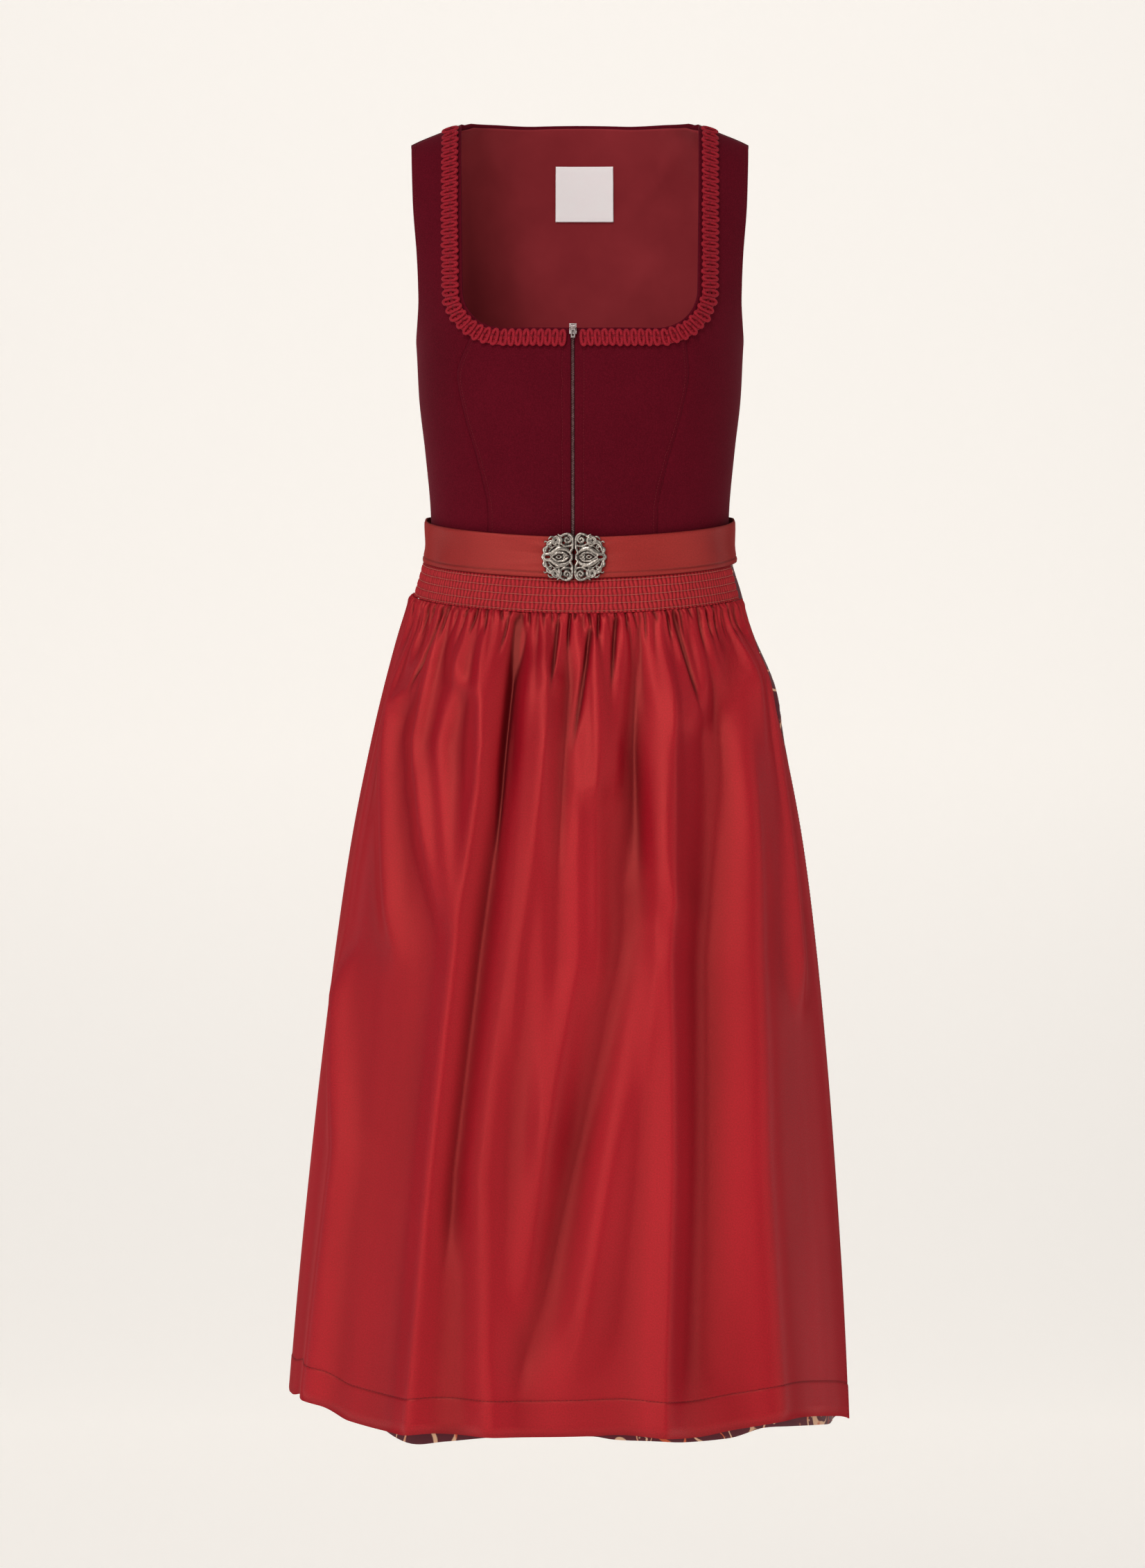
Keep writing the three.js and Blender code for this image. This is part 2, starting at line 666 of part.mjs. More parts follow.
const LINING = {
  from: 137, to: 223, bottomZ: -335, belowNeck: 5,
  stands: -(FELT + 1.6), crowd: 1.7, columns: 14, rows: 11,
};
const LINING_CORNER = { from: 66, to: 92, drop: 34 };

function buildLining() {
  const place = (u, v) => {
    const bearing = lerp(LINING.from, LINING.to, u);
    const reach = Math.min(LINING_CORNER.to, Math.abs(form(bearing, 0).x));
    const corner = smoothstep(LINING_CORNER.from, LINING_CORNER.to, reach);
    const topZ = backNeckZ(reach) - LINING.belowNeck - LINING_CORNER.drop * corner;
    return [bearing, lerp(topZ, LINING.bottomZ, (1 - v) ** LINING.crowd)];
  };
  const grid = gridOver(place, LINING.columns, LINING.rows, () => LINING.stands);
  addPanel('back_lining', grid, LINING_CLOTH, COLOURS.lining, {});
}

const LABEL = { x: 4.5, width: 54, topZ: -14, bottomZ: -64.5, thickness: 0.6 };

function buildLabel() {
  const stands = LINING.stands - LINING_CLOTH - 4 * SEAM_GAP;
  const place = (u, v) => {
    const z = lerp(LABEL.bottomZ, LABEL.topZ, v);
    return [bearingOf(LABEL.x + (0.5 - u) * LABEL.width, z, true), z];
  };
  addPanel('label', gridOver(place, 3, 3, () => stands), LABEL.thickness, COLOURS.label, {});
}

// The braid: a scalloped strip along the neck edge, thick at each loop of its cord.
function buildBraid(side, word) {
  const { length } = neckSizes(side);
  const loops = Math.round((length - BRAID_FROM_ZIP) / BRAID_PITCH);
  const columns = loops * 2;
  const swell = (column) => (column % 2 === 1 ? 1 : 0);
  const place = (u, v) => {
    const column = Math.round(u * columns);
    const scallop = BRAID_SCALLOP * (1 - swell(column));
    const way = lerp(BRAID_FROM_ZIP / length, 1 - 1 / length, u);
    const out = lerp(BRAID_INSET + BRAID_WIDTH - scallop, BRAID_INSET + scallop, v);
    return neckPlace(side, way, out);
  };
  const rise = (bearing, z, column) => BRAID_BASE + BRAID_THICK * (1 - BRAID_DIP * (1 - swell(column)));
  const outer = mirrored(side, gridOver(place, columns, 1, rise));
  const inner = mirrored(side, gridOver(place, Math.round(loops / 2), 1, () => BRAID_BASE));
  addMesh(`neck_braid_${word}`, wallGeometry(outer, inner), COLOURS.braid);
}

// One half of the zip: its tape behind the cloth, with the row of teeth in the groove.
const ZIP_TAPE = { width: 11, thickness: 1, teethHalf: 1.1, teethBehind: 1, behind: FELT + 2 * SEAM_GAP };

function buildZip(side, word) {
  const across = [
    { out: SEAM_GAP / 2, behind: ZIP_TAPE.teethBehind },
    { out: ZIP_TAPE.teethHalf, behind: ZIP_TAPE.teethBehind },
    { out: ZIP_TAPE.teethHalf + 0.1, behind: ZIP_TAPE.behind },
    { out: ZIP_TAPE.width, behind: ZIP_TAPE.behind },
  ];
  const gridBehind = (rear) => {
    const lines = [];
    for (let row = 0; row <= 8; row += 1) {
      const line = across.map(({ out, behind }) => {
        const x = ZIP_X + side * out;
        const low = waistSeam(0) + 4;
        const z = lerp(low, NECK_BOTTOM_Z - 1, row / 8);
        const bearing = bearingOf(x, z, false);
        const normal = formNormal(bearing, z);
        const depth = rear ? ZIP_TAPE.behind + ZIP_TAPE.thickness : behind;
        return { point: form(bearing, z).addScaledVector(normal, -depth), normal };
      });
      lines.push(line);
    }
    return mirrored(side, lines);
  };
  addMesh(`zip_tape_${word}`, wallGeometry(gridBehind(false), gridBehind(true)), COLOURS.tape);
}

const wasm = await Module();
wasm.setup();

function toManifold(geometry) {
  const plain = geometry.clone();
  plain.deleteAttribute('normal');
  plain.deleteAttribute('uv');
  const merged = mergeVertices(plain);
  const vertProperties = new Float32Array(merged.attributes.position.array);
  const triVerts = new Uint32Array(merged.index.array);
  return new wasm.Manifold(new wasm.Mesh({ numProp: 3, vertProperties, triVerts }));
}

function fromManifold(solid) {
  const { vertProperties, triVerts } = solid.getMesh();
  const geometry = new THREE.BufferGeometry();
  geometry.setAttribute('position', new THREE.Float32BufferAttribute(vertProperties, 3));
  geometry.setIndex([...triVerts]);
  geometry.computeVertexNormals();
  return geometry;
}

// The slider and its pull tab, which hangs from a crossbar and swings out about it.
const SLIDER = { width: 6.3, height: 9.3, thick: 2.2, centreZ: -189.5, barRadius: 0.6, barDrop: 1.5 };
const PULL = { width: 3.6, length: 10, thick: 1.2, eyeInner: 1.1, eyeOuter: 2, window: 1.8 };

function buildSlider() {
  const bearing = bearingOf(ZIP_X, SLIDER.centreZ, false);
  const normal = formNormal(bearing, SLIDER.centreZ);
  const tilt = Math.atan2(normal.z, -normal.y);
  const barAway = SLIDER.thick + PULL.eyeOuter + SEAM_GAP;
  const lugThick = 1;
  const lug = new THREE.BoxGeometry(lugThick, barAway - SLIDER.thick / 2 + 0.9, 2);
  const lugX = SLIDER.width / 2 - lugThick / 2;
  const plate = new THREE.BoxGeometry(SLIDER.width, SLIDER.thick, SLIDER.height);
  plate.translate(0, -SLIDER.thick / 2, 0);
  const lugY = -(SLIDER.thick / 2 + barAway + 0.9) / 2;
  const bar = new THREE.CylinderGeometry(SLIDER.barRadius, SLIDER.barRadius, 2 * lugX, 10);
  bar.rotateZ(Math.PI / 2).translate(0, -barAway, SLIDER.barDrop);
  let solid = toManifold(plate).add(toManifold(bar));
  [-lugX, lugX].forEach((x) => {
    solid = solid.add(toManifold(lug.clone().translate(x, lugY, SLIDER.barDrop)));
  });
  const seat = form(bearing, SLIDER.centreZ).addScaledVector(normal, SEAM_GAP + 0.15);
  const slider = addMesh('zip_slider', fromManifold(solid), COLOURS.silver, 0.35, 1);
  slider.position.copy(seat);
  slider.rotation.x = -tilt;
  const hinge = new THREE.Vector3(0, -barAway, SLIDER.barDrop).applyEuler(slider.rotation).add(seat);
  buildPull(hinge);
}

function buildPull(hinge) {
  const eye = new THREE.Shape();
  eye.absarc(0, 0, PULL.eyeOuter, 0, 2 * Math.PI, false);
  const tail = new THREE.BoxGeometry(PULL.width, PULL.thick, PULL.length - PULL.eyeOuter + 0.6);
  tail.translate(0, 0, -(PULL.length + PULL.eyeOuter - 0.6) / 2);
  const ring = new THREE.ExtrudeGeometry(eye, { depth: PULL.width, bevelEnabled: false, curveSegments: 8 });
  ring.translate(0, 0, -PULL.width / 2).rotateY(Math.PI / 2);
  const bore = new THREE.CylinderGeometry(PULL.eyeInner, PULL.eyeInner, PULL.width + 2, 16);
  bore.rotateZ(Math.PI / 2);
  const window = new THREE.BoxGeometry(PULL.window, PULL.thick + 2, PULL.length - PULL.eyeOuter - 3);
  window.translate(0, 0, -(PULL.length + PULL.eyeOuter) / 2);
  const body = toManifold(ring).add(toManifold(tail));
  const solid = body.subtract(toManifold(bore)).subtract(toManifold(window));
  const pull = addMesh('zip_pull', fromManifold(solid), COLOURS.silver, 0.35, 1);
  pull.position.copy(hinge);
}

// The belt runs right round and ends behind the two halves of its clasp.
const BELT_END_BEARING = 1.2;
const BELT_CENTRE_BEARING = -3.2;

function buildBelt() {
  const from = BELT_CENTRE_BEARING + BELT_END_BEARING;
  const to = 360 + BELT_CENTRE_BEARING - BELT_END_BEARING;
  const place = (u, v) => {
    const bearing = lerp(from, to, u);
    return [bearing, lerp(beltTop(bearing) - BELT_WIDTH, beltTop(bearing), v)];
  };
  const grid = gridOver(place, 56, 2, () => BELT_STANDS);
  addPanel('apron_belt', grid, BELT_CLOTH, COLOURS.belt, {});
}

// Half of the clasp: a lobed plate with openings, the largest of the filigree cut through.
const CLASP = { halfWidth: 28.6, halfHeight: 21.7, thick: 2.4, apart: 0.5, lobe: 0.045, lobes: 10 };
const CLASP_OPENINGS = [
  { x: 22.5, z: 0, rx: 3.4, rz: 2.1 },
  { x: 10, z: 0, rx: 3.2, rz: 2.4 },
  { x: 17.5, z: 7.5, rx: 2.8, rz: 2.1 },
  { x: 17.5, z: -7.5, rx: 2.8, rz: 2.1 },
  { x: 6.5, z: 14, rx: 2.2, rz: 2.2 },
  { x: 6.5, z: -14, rx: 2.2, rz: 2.2 },
];
const CLASP_AHEAD = 0.6;

function buildClasp(side, word) {
  const outline = new THREE.Shape();
  const steps = 36;
  for (let i = 0; i <= steps; i += 1) {
    const turn = lerp(-Math.PI / 2, Math.PI / 2, i / steps);
    const wave = 1 + CLASP.lobe * (Math.cos(CLASP.lobes * turn) - 1) * 0.5;
    const x = CLASP.apart + (CLASP.halfWidth - CLASP.apart) * Math.cos(turn) ** 0.8 * wave;
    const z = CLASP.halfHeight * Math.sin(turn) * wave;
    if (i === 0) outline.moveTo(CLASP.apart, z);
    else outline.lineTo(i === steps ? CLASP.apart : x, z);
  }
  CLASP_OPENINGS.forEach(({ x, z, rx, rz }) => {
    const hole = new THREE.Path();
    hole.absellipse(x, z, rx, rz, 0, 2 * Math.PI, true, 0);
    outline.holes.push(hole);
  });
  const options = { depth: CLASP.thick, bevelEnabled: false, curveSegments: 6 };
  const plate = new THREE.ExtrudeGeometry(outline, options);
  plate.rotateX(Math.PI / 2);
  if (side < 0) plate.rotateZ(Math.PI).translate(0, -CLASP.thick, 0);
  const clean = fromManifold(toManifold(plate));
  const topZ = beltTop(BELT_CENTRE_BEARING);
  const [high, low] = [topZ, topZ - BELT_WIDTH].map((z) => {
    const normal = formNormal(BELT_CENTRE_BEARING, z);
    return form(BELT_CENTRE_BEARING, z).addScaledVector(normal, BELT_STANDS + CLASP_AHEAD);
  });
  const mesh = addMesh(`clasp_${word}`, clean, COLOURS.silver, 0.4, 1);
  mesh.position.set(ZIP_X + 1, (high.y + low.y) / 2, (high.z + low.z) / 2);
  mesh.rotation.x = Math.atan2(low.y - high.y, high.z - low.z);
}

// The smocked band: raised ribs over a plain inside, drawn in at the stitch rows.
function buildSmocking() {
  const stands = { top: 3.4, bottom: 4.3 };
  const cloth = 2.5;
  const columns = SMOCK_RIBS * 2;
  const rows = 5;
  const edgeTop = apronRightEdgeAt(SMOCK_Z);
  const place = (u, v) => {
    const bearing = lerp(APRON_LEFT_BEARING, edgeTop, u);
    const top = beltTop(bearing) - SMOCK_TOP_DROP;
    return [bearing, lerp(smockBottom(bearing), top, v)];
  };
  const baseAt = (bearing, z) => {
    const drop = beltTop(bearing) - z;
    return lerp(stands.top, stands.bottom, smoothstep(SMOCK_TOP_DROP, SMOCK_BOTTOM_DROP, drop));
  };
  const rise = (bearing, z, column) => {
    const drop = beltTop(bearing) - z;
    const rib = column % 2 === 1 ? SMOCK_RIB_HEIGHT : 0;
    return baseAt(bearing, z) + rib * smoothstep(BELT_WIDTH + 1, BELT_WIDTH + 5, drop);
  };
  const outer = gridOver(place, columns, rows, rise);
  const inner = gridOver(place, SMOCK_RIBS / 2, 1, (bearing, z) => baseAt(bearing, z) - cloth);
  drawBack([outer], { bottom: true });
  drawBack([inner], { bottom: true });
  addMesh('apron_smocking', wallGeometry(outer, inner), COLOURS.smock);
}

// Height of a set of folds at a bearing and a drop below the smocking.
function foldHeight(folds, bearing, drop, radius) {
  let knot = 0;
  while (knot < FOLD_DROPS.length - 2 && drop > FOLD_DROPS[knot + 1]) knot += 1;
  const [low, high] = [FOLD_DROPS[knot], FOLD_DROPS[knot + 1]];
  const way = Math.min(1, Math.max(0, (drop - low) / (high - low)));
  return folds.reduce((sum, fold) => {
    const centre = lerp(fold.at[knot], fold.at[knot + 1], way);
    const away = ((bearing - centre) * degrees * radius) / fold.width;
    const grow = smoothstep(fold.from, fold.from + FOLD_FADE, drop);
    const fade = 1 - smoothstep(fold.to - FOLD_FADE, fold.to, drop);
    return sum + fold.height * grow * fade * Math.exp(-away * away);
  }, 0);
}

// Gathers fan down from a seam: even at the top, they run out at uneven drops.
function gatherHeight(gathers, bearing, drop, period) {
  const phase = (bearing / period) * 2 * Math.PI;
  const drift = Math.sin(bearing * GATHER_DRIFT.quick) * Math.cos(bearing * GATHER_DRIFT.slow);
  const uneven = 1 - GATHER_DRIFT.share * (1 - drift);
  const fade = Math.exp(-Math.max(0, drop) / (gathers.fade * uneven));
  return gathers.height * uneven * fade * (0.5 + 0.5 * Math.cos(phase));
}

function buildApron() {
  const columns = 66;
  const rows = 11;
  const place = (u, v) => {
    const hanging = 1 - (1 - v) ** 1.5;
    const guess = lerp(APRON_HEM_Z, smockBottom(-15), hanging);
    const bearing = lerp(APRON_LEFT_BEARING, apronRightEdgeAt(guess), u);
    return [bearing, lerp(APRON_HEM_Z, smockBottom(bearing), hanging)];
  };
  const rise = (bearing, z) => {
    const drop = smockBottom(bearing) - z;
    const folds = foldHeight(APRON_FOLDS, bearing, drop, halfWidthAt(z));
    const gathers = gatherHeight(APRON_GATHERS, bearing, drop, 164 / APRON_GATHERS.count);
    const clear = SKIRT_CLOTH + 0.6 - apronStandsAt(z);
    return apronStandsAt(z) + Math.max(clear, folds) + gathers + SKIRT_CLOTH;
  };
  const grid = gridOver(place, columns, rows, rise);
  addPanel('apron_panel', grid, SKIRT_CLOTH, COLOURS.apron, { top: true }, true);
}

// How far a bearing lies outside the apron, from 0 under it to 1 clear of it.
function clearOfApron(bearing, z) {
  const signed = bearing > 180 ? bearing - 360 : bearing;
  const right = smoothstep(1, 7, signed - apronRightEdgeAt(z));
  const left = smoothstep(1, 7, APRON_LEFT_BEARING - signed);
  return Math.max(right, left);
}

function skirtRise(bearing, z) {
  const drop = waistSeam(bearing) - z;
  const open = clearOfApron(bearing, z);
  const apart = smoothstep(WAIST_APART.from, WAIST_APART.to, drop);
  const gathers = gatherHeight(SKIRT_GATHERS, bearing, drop, 360 / (2 * SKIRT_GATHERS.count));
  const folds = foldHeight(SKIRT_FOLDS, bearing, drop - 50, halfWidthAt(z));
  const share = lerp(SKIRT_GATHERS.underApron * apart, 1, open);
  return gathers * share * lerp(WAIST_APART.share, 1, apart) + folds * open;
}

function buildSkirtPart(name, fromBearing, toBearing, columns, rows) {
  const place = (u, v) => {
    const hanging = 1 - (1 - v) ** 1.8;
    const bearing = lerp(fromBearing, toBearing, u);
    return [bearing, lerp(SKIRT_HEM_Z, waistSeam(bearing), hanging)];
  };
  const grid = gridOver(place, columns, rows, skirtRise);
  addPanel(name, grid, SKIRT_CLOTH, COLOURS.print, { left: true, right: true, top: true }, true);
}

SIDES.forEach(({ side, word }) => {
  buildFrontCentre(side, word);
  buildFrontSide(side, word);
  buildBackSide(side, word);
  buildBraid(side, word);
  buildZip(side, word);
  buildClasp(side, word);
});
buildBackCentre();
buildLining();
buildLabel();
buildSlider();
buildBelt();
buildSmocking();
buildApron();
buildSkirtPart('skirt_front', -90, 90, 28, 9);
buildSkirtPart('skirt_back', 90, 270, 64, 9);

export default dirndl;
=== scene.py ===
import math

import bpy
import numpy as np
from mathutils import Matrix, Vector


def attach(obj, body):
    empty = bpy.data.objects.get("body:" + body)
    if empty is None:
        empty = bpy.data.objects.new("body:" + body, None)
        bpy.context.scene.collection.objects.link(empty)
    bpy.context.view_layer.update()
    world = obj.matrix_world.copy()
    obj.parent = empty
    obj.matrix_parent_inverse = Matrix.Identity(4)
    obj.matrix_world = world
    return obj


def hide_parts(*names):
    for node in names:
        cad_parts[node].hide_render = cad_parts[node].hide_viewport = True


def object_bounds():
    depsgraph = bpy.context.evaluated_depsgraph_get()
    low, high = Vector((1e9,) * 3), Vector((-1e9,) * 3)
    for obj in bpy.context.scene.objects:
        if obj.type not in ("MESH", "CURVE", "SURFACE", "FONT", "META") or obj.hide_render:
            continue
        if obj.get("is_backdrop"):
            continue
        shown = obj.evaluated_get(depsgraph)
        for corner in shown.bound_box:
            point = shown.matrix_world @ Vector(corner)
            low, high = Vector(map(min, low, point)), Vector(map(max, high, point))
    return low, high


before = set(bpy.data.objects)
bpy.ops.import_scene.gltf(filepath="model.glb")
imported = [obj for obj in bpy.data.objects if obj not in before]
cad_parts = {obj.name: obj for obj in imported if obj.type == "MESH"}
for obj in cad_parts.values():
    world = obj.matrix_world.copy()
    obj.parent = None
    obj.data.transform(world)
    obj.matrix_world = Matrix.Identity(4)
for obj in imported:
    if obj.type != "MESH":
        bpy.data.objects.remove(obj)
cad_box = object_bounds()

# Sizes and places are in millimetres, as on a dressmaker's pattern. Meshes are in metres.
# Bearings are in degrees round the wearer: 0 is the front, 90 the viewer's right, 180 the back.
MM = 0.001
DRESS = "dress"
rng = np.random.default_rng(7)

# Picture frame and camera: a long lens, level, at the height of the picture's middle.
PICTURE = (1652, 2262)
MM_PER_PIXEL = 0.619
CAMERA_AWAY = 3200
SENSOR_HEIGHT = 36
PICTURE_CENTRE = (-6.6, -581.5)

# The sizes of the dress and the thickness of its cloths.
SEAM_GAP = 0.3
FELT = 2.0
CLOTH = 1.2
LINING_CLOTH = 1.0
BELT_CLOTH = 1.6
SMOCKED_CLOTH = 1.4
TAPE_CLOTH = 1.0
CENTRE_Y = 8
HEM_LEAN_X = -7.5
LEAN_SPAN = (450, 1140)
SHOULDER_HOLD = (150, 300)
SHOULDER_NECK = (106, 9)
SHOULDER_TIP = (151, -9)
BACK_ROOT_RISE = 66
BACK_NECK_Z = 20
BACK_NECK_LIFT = {"middle": 0.2, "side": 2.2, "from_x": 40, "to_x": 88, "ends_x": 97}
TIP_ROUND = {"from_x": 137, "reach": 14, "fall": 0.8}
BACK_STRAP_SHARE = 1 / 7
NECK_BOTTOM_Z = -188
NECK_BOTTOM_HALF = 103
NECK_CORNER_RADIUS = 38
ZIP_X = -6.3
ZIP_GROOVE_HALF = 1.7
UNDERARM_Z = -192
UNDERARM_BEARING = 88
SIDE_SEAM_WAIST_BEARING = 84
BACK_SEAM_ON_ARMHOLE = 0.62
WAIST_SIDE_Z = -375
WAIST_FRONT_Z = -385
BELT_TOP_SIDE_Z = -337
BELT_DIP = 30
BELT_WIDTH = 37
BELT_STANDS = 6.2
SMOCK_TOP_DROP = 30
SMOCK_BOTTOM_DROP = 68
SMOCK_RIBS = 112
SMOCK_COLUMNS = 6
SMOCK_BOTTOM_Z = -430
APRON_HEM_Z = -1133
SKIRT_HEM_Z = -1138
APRON_LEFT_BEARING = -97
BRAID_WIDTH = 15
BRAID_INSET = 1.5
BRAID_PITCH = 6.3
BRAID_BASE = 0.9
BRAID_FROM_ZIP = 6


def table(names, *rows):
    """A table as a dict of columns, sorted by its first column."""
    columns = names.split()
    ordered = sorted(rows)
    return {name: np.array([row[i] for row in ordered], float) for i, name in enumerate(columns)}


def records(names, *rows):
    """A table as a list of rows, each a dict, in the order given."""
    return [dict(zip(names.split(), row)) for row in rows]


# Half widths by height and depths by distance below the shoulders, then the armhole, the seams
# and the apron's right edge, each as a curve through a few points.
RINGS = table(
    "z half_width square",
    (-1140, 233, 2.2), (-1030, 226, 2.2), (-930, 218.7, 2.2), (-831, 210.7, 2.2),
    (-733, 201.5, 2.2), (-633, 189.6, 2.2), (-534, 172.7, 2.2), (-460, 156, 2.2),
    (-411, 142, 2.3), (-387, 136, 2.4), (-365, 132.6, 2.5), (-340, 133.3, 2.6),
    (-287, 138, 2.6), (-237, 143.6, 2.6), (-192, 146, 2.6), (-114, 154, 2.6),
    (-64, 157, 2.6), (20, 158, 2.6),
)
DEPTHS = table(
    "below front back",
    (0, 0, 0), (2, 9, 10), (8, 22, 25), (20, 38, 42), (50, 58, 66), (100, 82, 86),
    (150, 102, 93), (200, 117, 92), (240, 119, 88), (300, 110, 82), (350, 102, 80),
    (385, 99, 84), (422, 104.5, 96), (494, 117, 118), (555, 125, 133), (642, 133.5, 148),
    (742, 141, 160), (841, 147.5, 169), (940, 153, 177), (1039, 158.5, 184), (1145, 163, 191),
)
CUP = {"x": 80, "z": -215, "stands": 8, "spread": 45}
ARMHOLE = table(
    "way front_z front back_z back",
    (0, -192, 88, -192, 88), (0.12, -188, 80.5, -190, 97), (0.25, -176, 72, -179, 107),
    (0.4, -152, 65.5, -154, 113.5), (0.6, -112, 63, -112, 117), (0.8, -60, 64.5, -60, 115.5),
    (1, -9, 66, -9, 114),
)
FRONT_SEAM = table(
    "z from_zip",
    (-390, 74), (-347, 74), (-301, 83), (-259, 95), (-224, 101), (-177, 97.5),
)
BACK_SEAM = table(
    "way z x",
    (0, -355, 52), (0.2, -310, 55), (0.4, -250, 63), (0.6, -190, 76), (0.75, -150, 88),
    (0.87, -121, 104), (1, -107.7, 143),
)
APRON = table(
    "z right_edge stands",
    (-1140, 72, 19), (-1000, 78, 16.5), (-800, 83, 13), (-650, 84, 10), (-548, 82, 7),
    (-470, 73, 4.6), (-400, 67, 3),
)

# Folds: the bearings of a crest or trough at five drops below the smocking, then the drops where
# it starts and ends, its width along the cloth, its height (a trough's is below 0), and how
# sharp its line is (1 is rounded).
FOLD_DROPS = (0, 120, 300, 480, 690)
FOLD_COLUMNS = "b0 b120 b300 b480 b690 start end width height sharp"
APRON_FOLDS = records(
    FOLD_COLUMNS,
    (-69, -62, -46, -46, -46, 20, 330, 15, 7, 1.2), (-78, -77, -69, -57, -60, 285, 760, 22, 11, 1.4),
    (-46, -48, -29, -28, -28, -20, 300, 12, 7, 1.3), (-34, -39, -27, -27, -27, 0, 290, 10, 5, 1.2),
    (-31, -25, -28, -30, -32, -10, 780, 17, 12, 1.6), (-19, -19, -23, -26, -27, -20, 580, 11, -7, 1.8),
    (-15, -14, -16, -19, -16, 10, 780, 18, 9, 1.2), (-7, -9, -13.5, -15, -15, 0, 400, 9, 3, 1.6),
    (-7, -8, -8, -7, -11, 50, 640, 16, 7, 1.2), (-1, -4, -6, -6, -6, 10, 240, 9, -3, 1.6),
    (-1, -1, 0, -6, -6, 60, 500, 14, 7, 1.2), (3, 4, 5, 0, 0, -10, 350, 10, 5, 1.4),
    (13, 10, 6, 6, 6, 0, 190, 10, 5, 1.3), (18, 15, 15, 15, 15, -20, 250, 10, -6, 1.8),
    (17, 18, 18, 13, 13, 60, 420, 9, 3, 1.6), (28, 24.5, 21, 20.5, 18, 20, 780, 18, 13, 1.7),
    (17, 17, 13.5, 7, -1, 240, 660, 18, 8, 1.2), (18, 18, 12.5, 0, -13, 230, 680, 20, -8, 1.3),
    (54, 48, 43, 41, 42, 10, 780, 26, 13, 1.2), (57, 61, 60, 60, 60, 10, 380, 17, 8, 1.3),
    (50, 40, 30.5, 28, 25, 30, 700, 20, -6, 1.2),
)
SKIRT_FOLDS = records(
    FOLD_COLUMNS,
    (84, 86, 92, 95, 96, 20, 780, 20, 10, 1.3), (103, 105, 109, 112, 113, 60, 780, 19, 13, 1.2),
    (121, 122, 124, 128, 131, 10, 780, 17, 14, 1.4), (138, 138, 140, 144, 145, 90, 780, 21, 11, 1.2),
    (152, 153, 156, 157, 158, 30, 780, 16, 15, 1.4), (171, 170, 168, 171, 173, 50, 780, 20, 12, 1.2),
    (184, 186, 188, 187, 187, 20, 780, 16, 15, 1.3), (201, 200, 202, 203, 201, 120, 780, 18, 12, 1.3),
    (215, 216, 217, 216, 216, 10, 780, 20, 14, 1.2), (232, 231, 230, 232, 231, 70, 780, 17, 13, 1.4),
    (246, 246, 247, 246, 245, 40, 780, 18, 10, 1.2),
)
FOLD_FADE = 70
APRON_FOLD_DEPTH = 1.3
SKIRT_GATHERS = {"count": 40, "height": 3.4, "fade": 330, "near_apron": 0.6}


# Curves and blends.

def smoothstep(start, end, value):
    way = np.clip((value - start) / (end - start), 0, 1)
    return way * way * (3 - 2 * way)


def lerp(a, b, way):
    return a + (b - a) * way


def curve_of(rows, key, column):
    """A smooth curve without overshoot through one column of a table."""
    xs, ys = rows[key], rows[column]
    steps = np.diff(ys) / np.diff(xs)
    before = np.concatenate([steps[:1], steps])
    after = np.concatenate([steps, steps[-1:]])
    rising = before * after > 0
    safe = np.where(rising, before + after, 1)
    slopes = np.where(rising, 2 * before * after / safe, 0)

    def read(value):
        x = np.clip(value, xs[0], xs[-1])
        i = np.clip(np.searchsorted(xs, x, side="right") - 1, 0, len(steps) - 1)
        span = xs[i + 1] - xs[i]
        s = (x - xs[i]) / span
        s2, s3 = s * s, s * s * s
        low = (2 * s3 - 3 * s2 + 1) * ys[i] + (s3 - 2 * s2 + s) * span * slopes[i]
        return low + (3 * s2 - 2 * s3) * ys[i + 1] + (s3 - s2) * span * slopes[i + 1]

    return read


half_width_at = curve_of(RINGS, "z", "half_width")
square_at = curve_of(RINGS, "z", "square")
front_depth_at = curve_of(DEPTHS, "below", "front")
back_depth_at = curve_of(DEPTHS, "below", "back")
front_seam_at = curve_of(FRONT_SEAM, "z", "from_zip")
back_seam_z = curve_of(BACK_SEAM, "way", "z")
back_seam_x = curve_of(BACK_SEAM, "way", "x")
apron_right_edge = curve_of(APRON, "z", "right_edge")
apron_stands = curve_of(APRON, "z", "stands")


# The body's form, as in the solids.

def shoulder_line(x, is_back):
    away = np.abs(x)
    slope = (away - SHOULDER_NECK[0]) / (SHOULDER_TIP[0] - SHOULDER_NECK[0])
    outer = lerp(SHOULDER_NECK[1], SHOULDER_TIP[1], slope)
    rise = np.where(is_back, BACK_ROOT_RISE * (1 - (away / SHOULDER_NECK[0]) ** 2), 0)
    return np.where(away > SHOULDER_NECK[0], outer, SHOULDER_NECK[1] + rise)


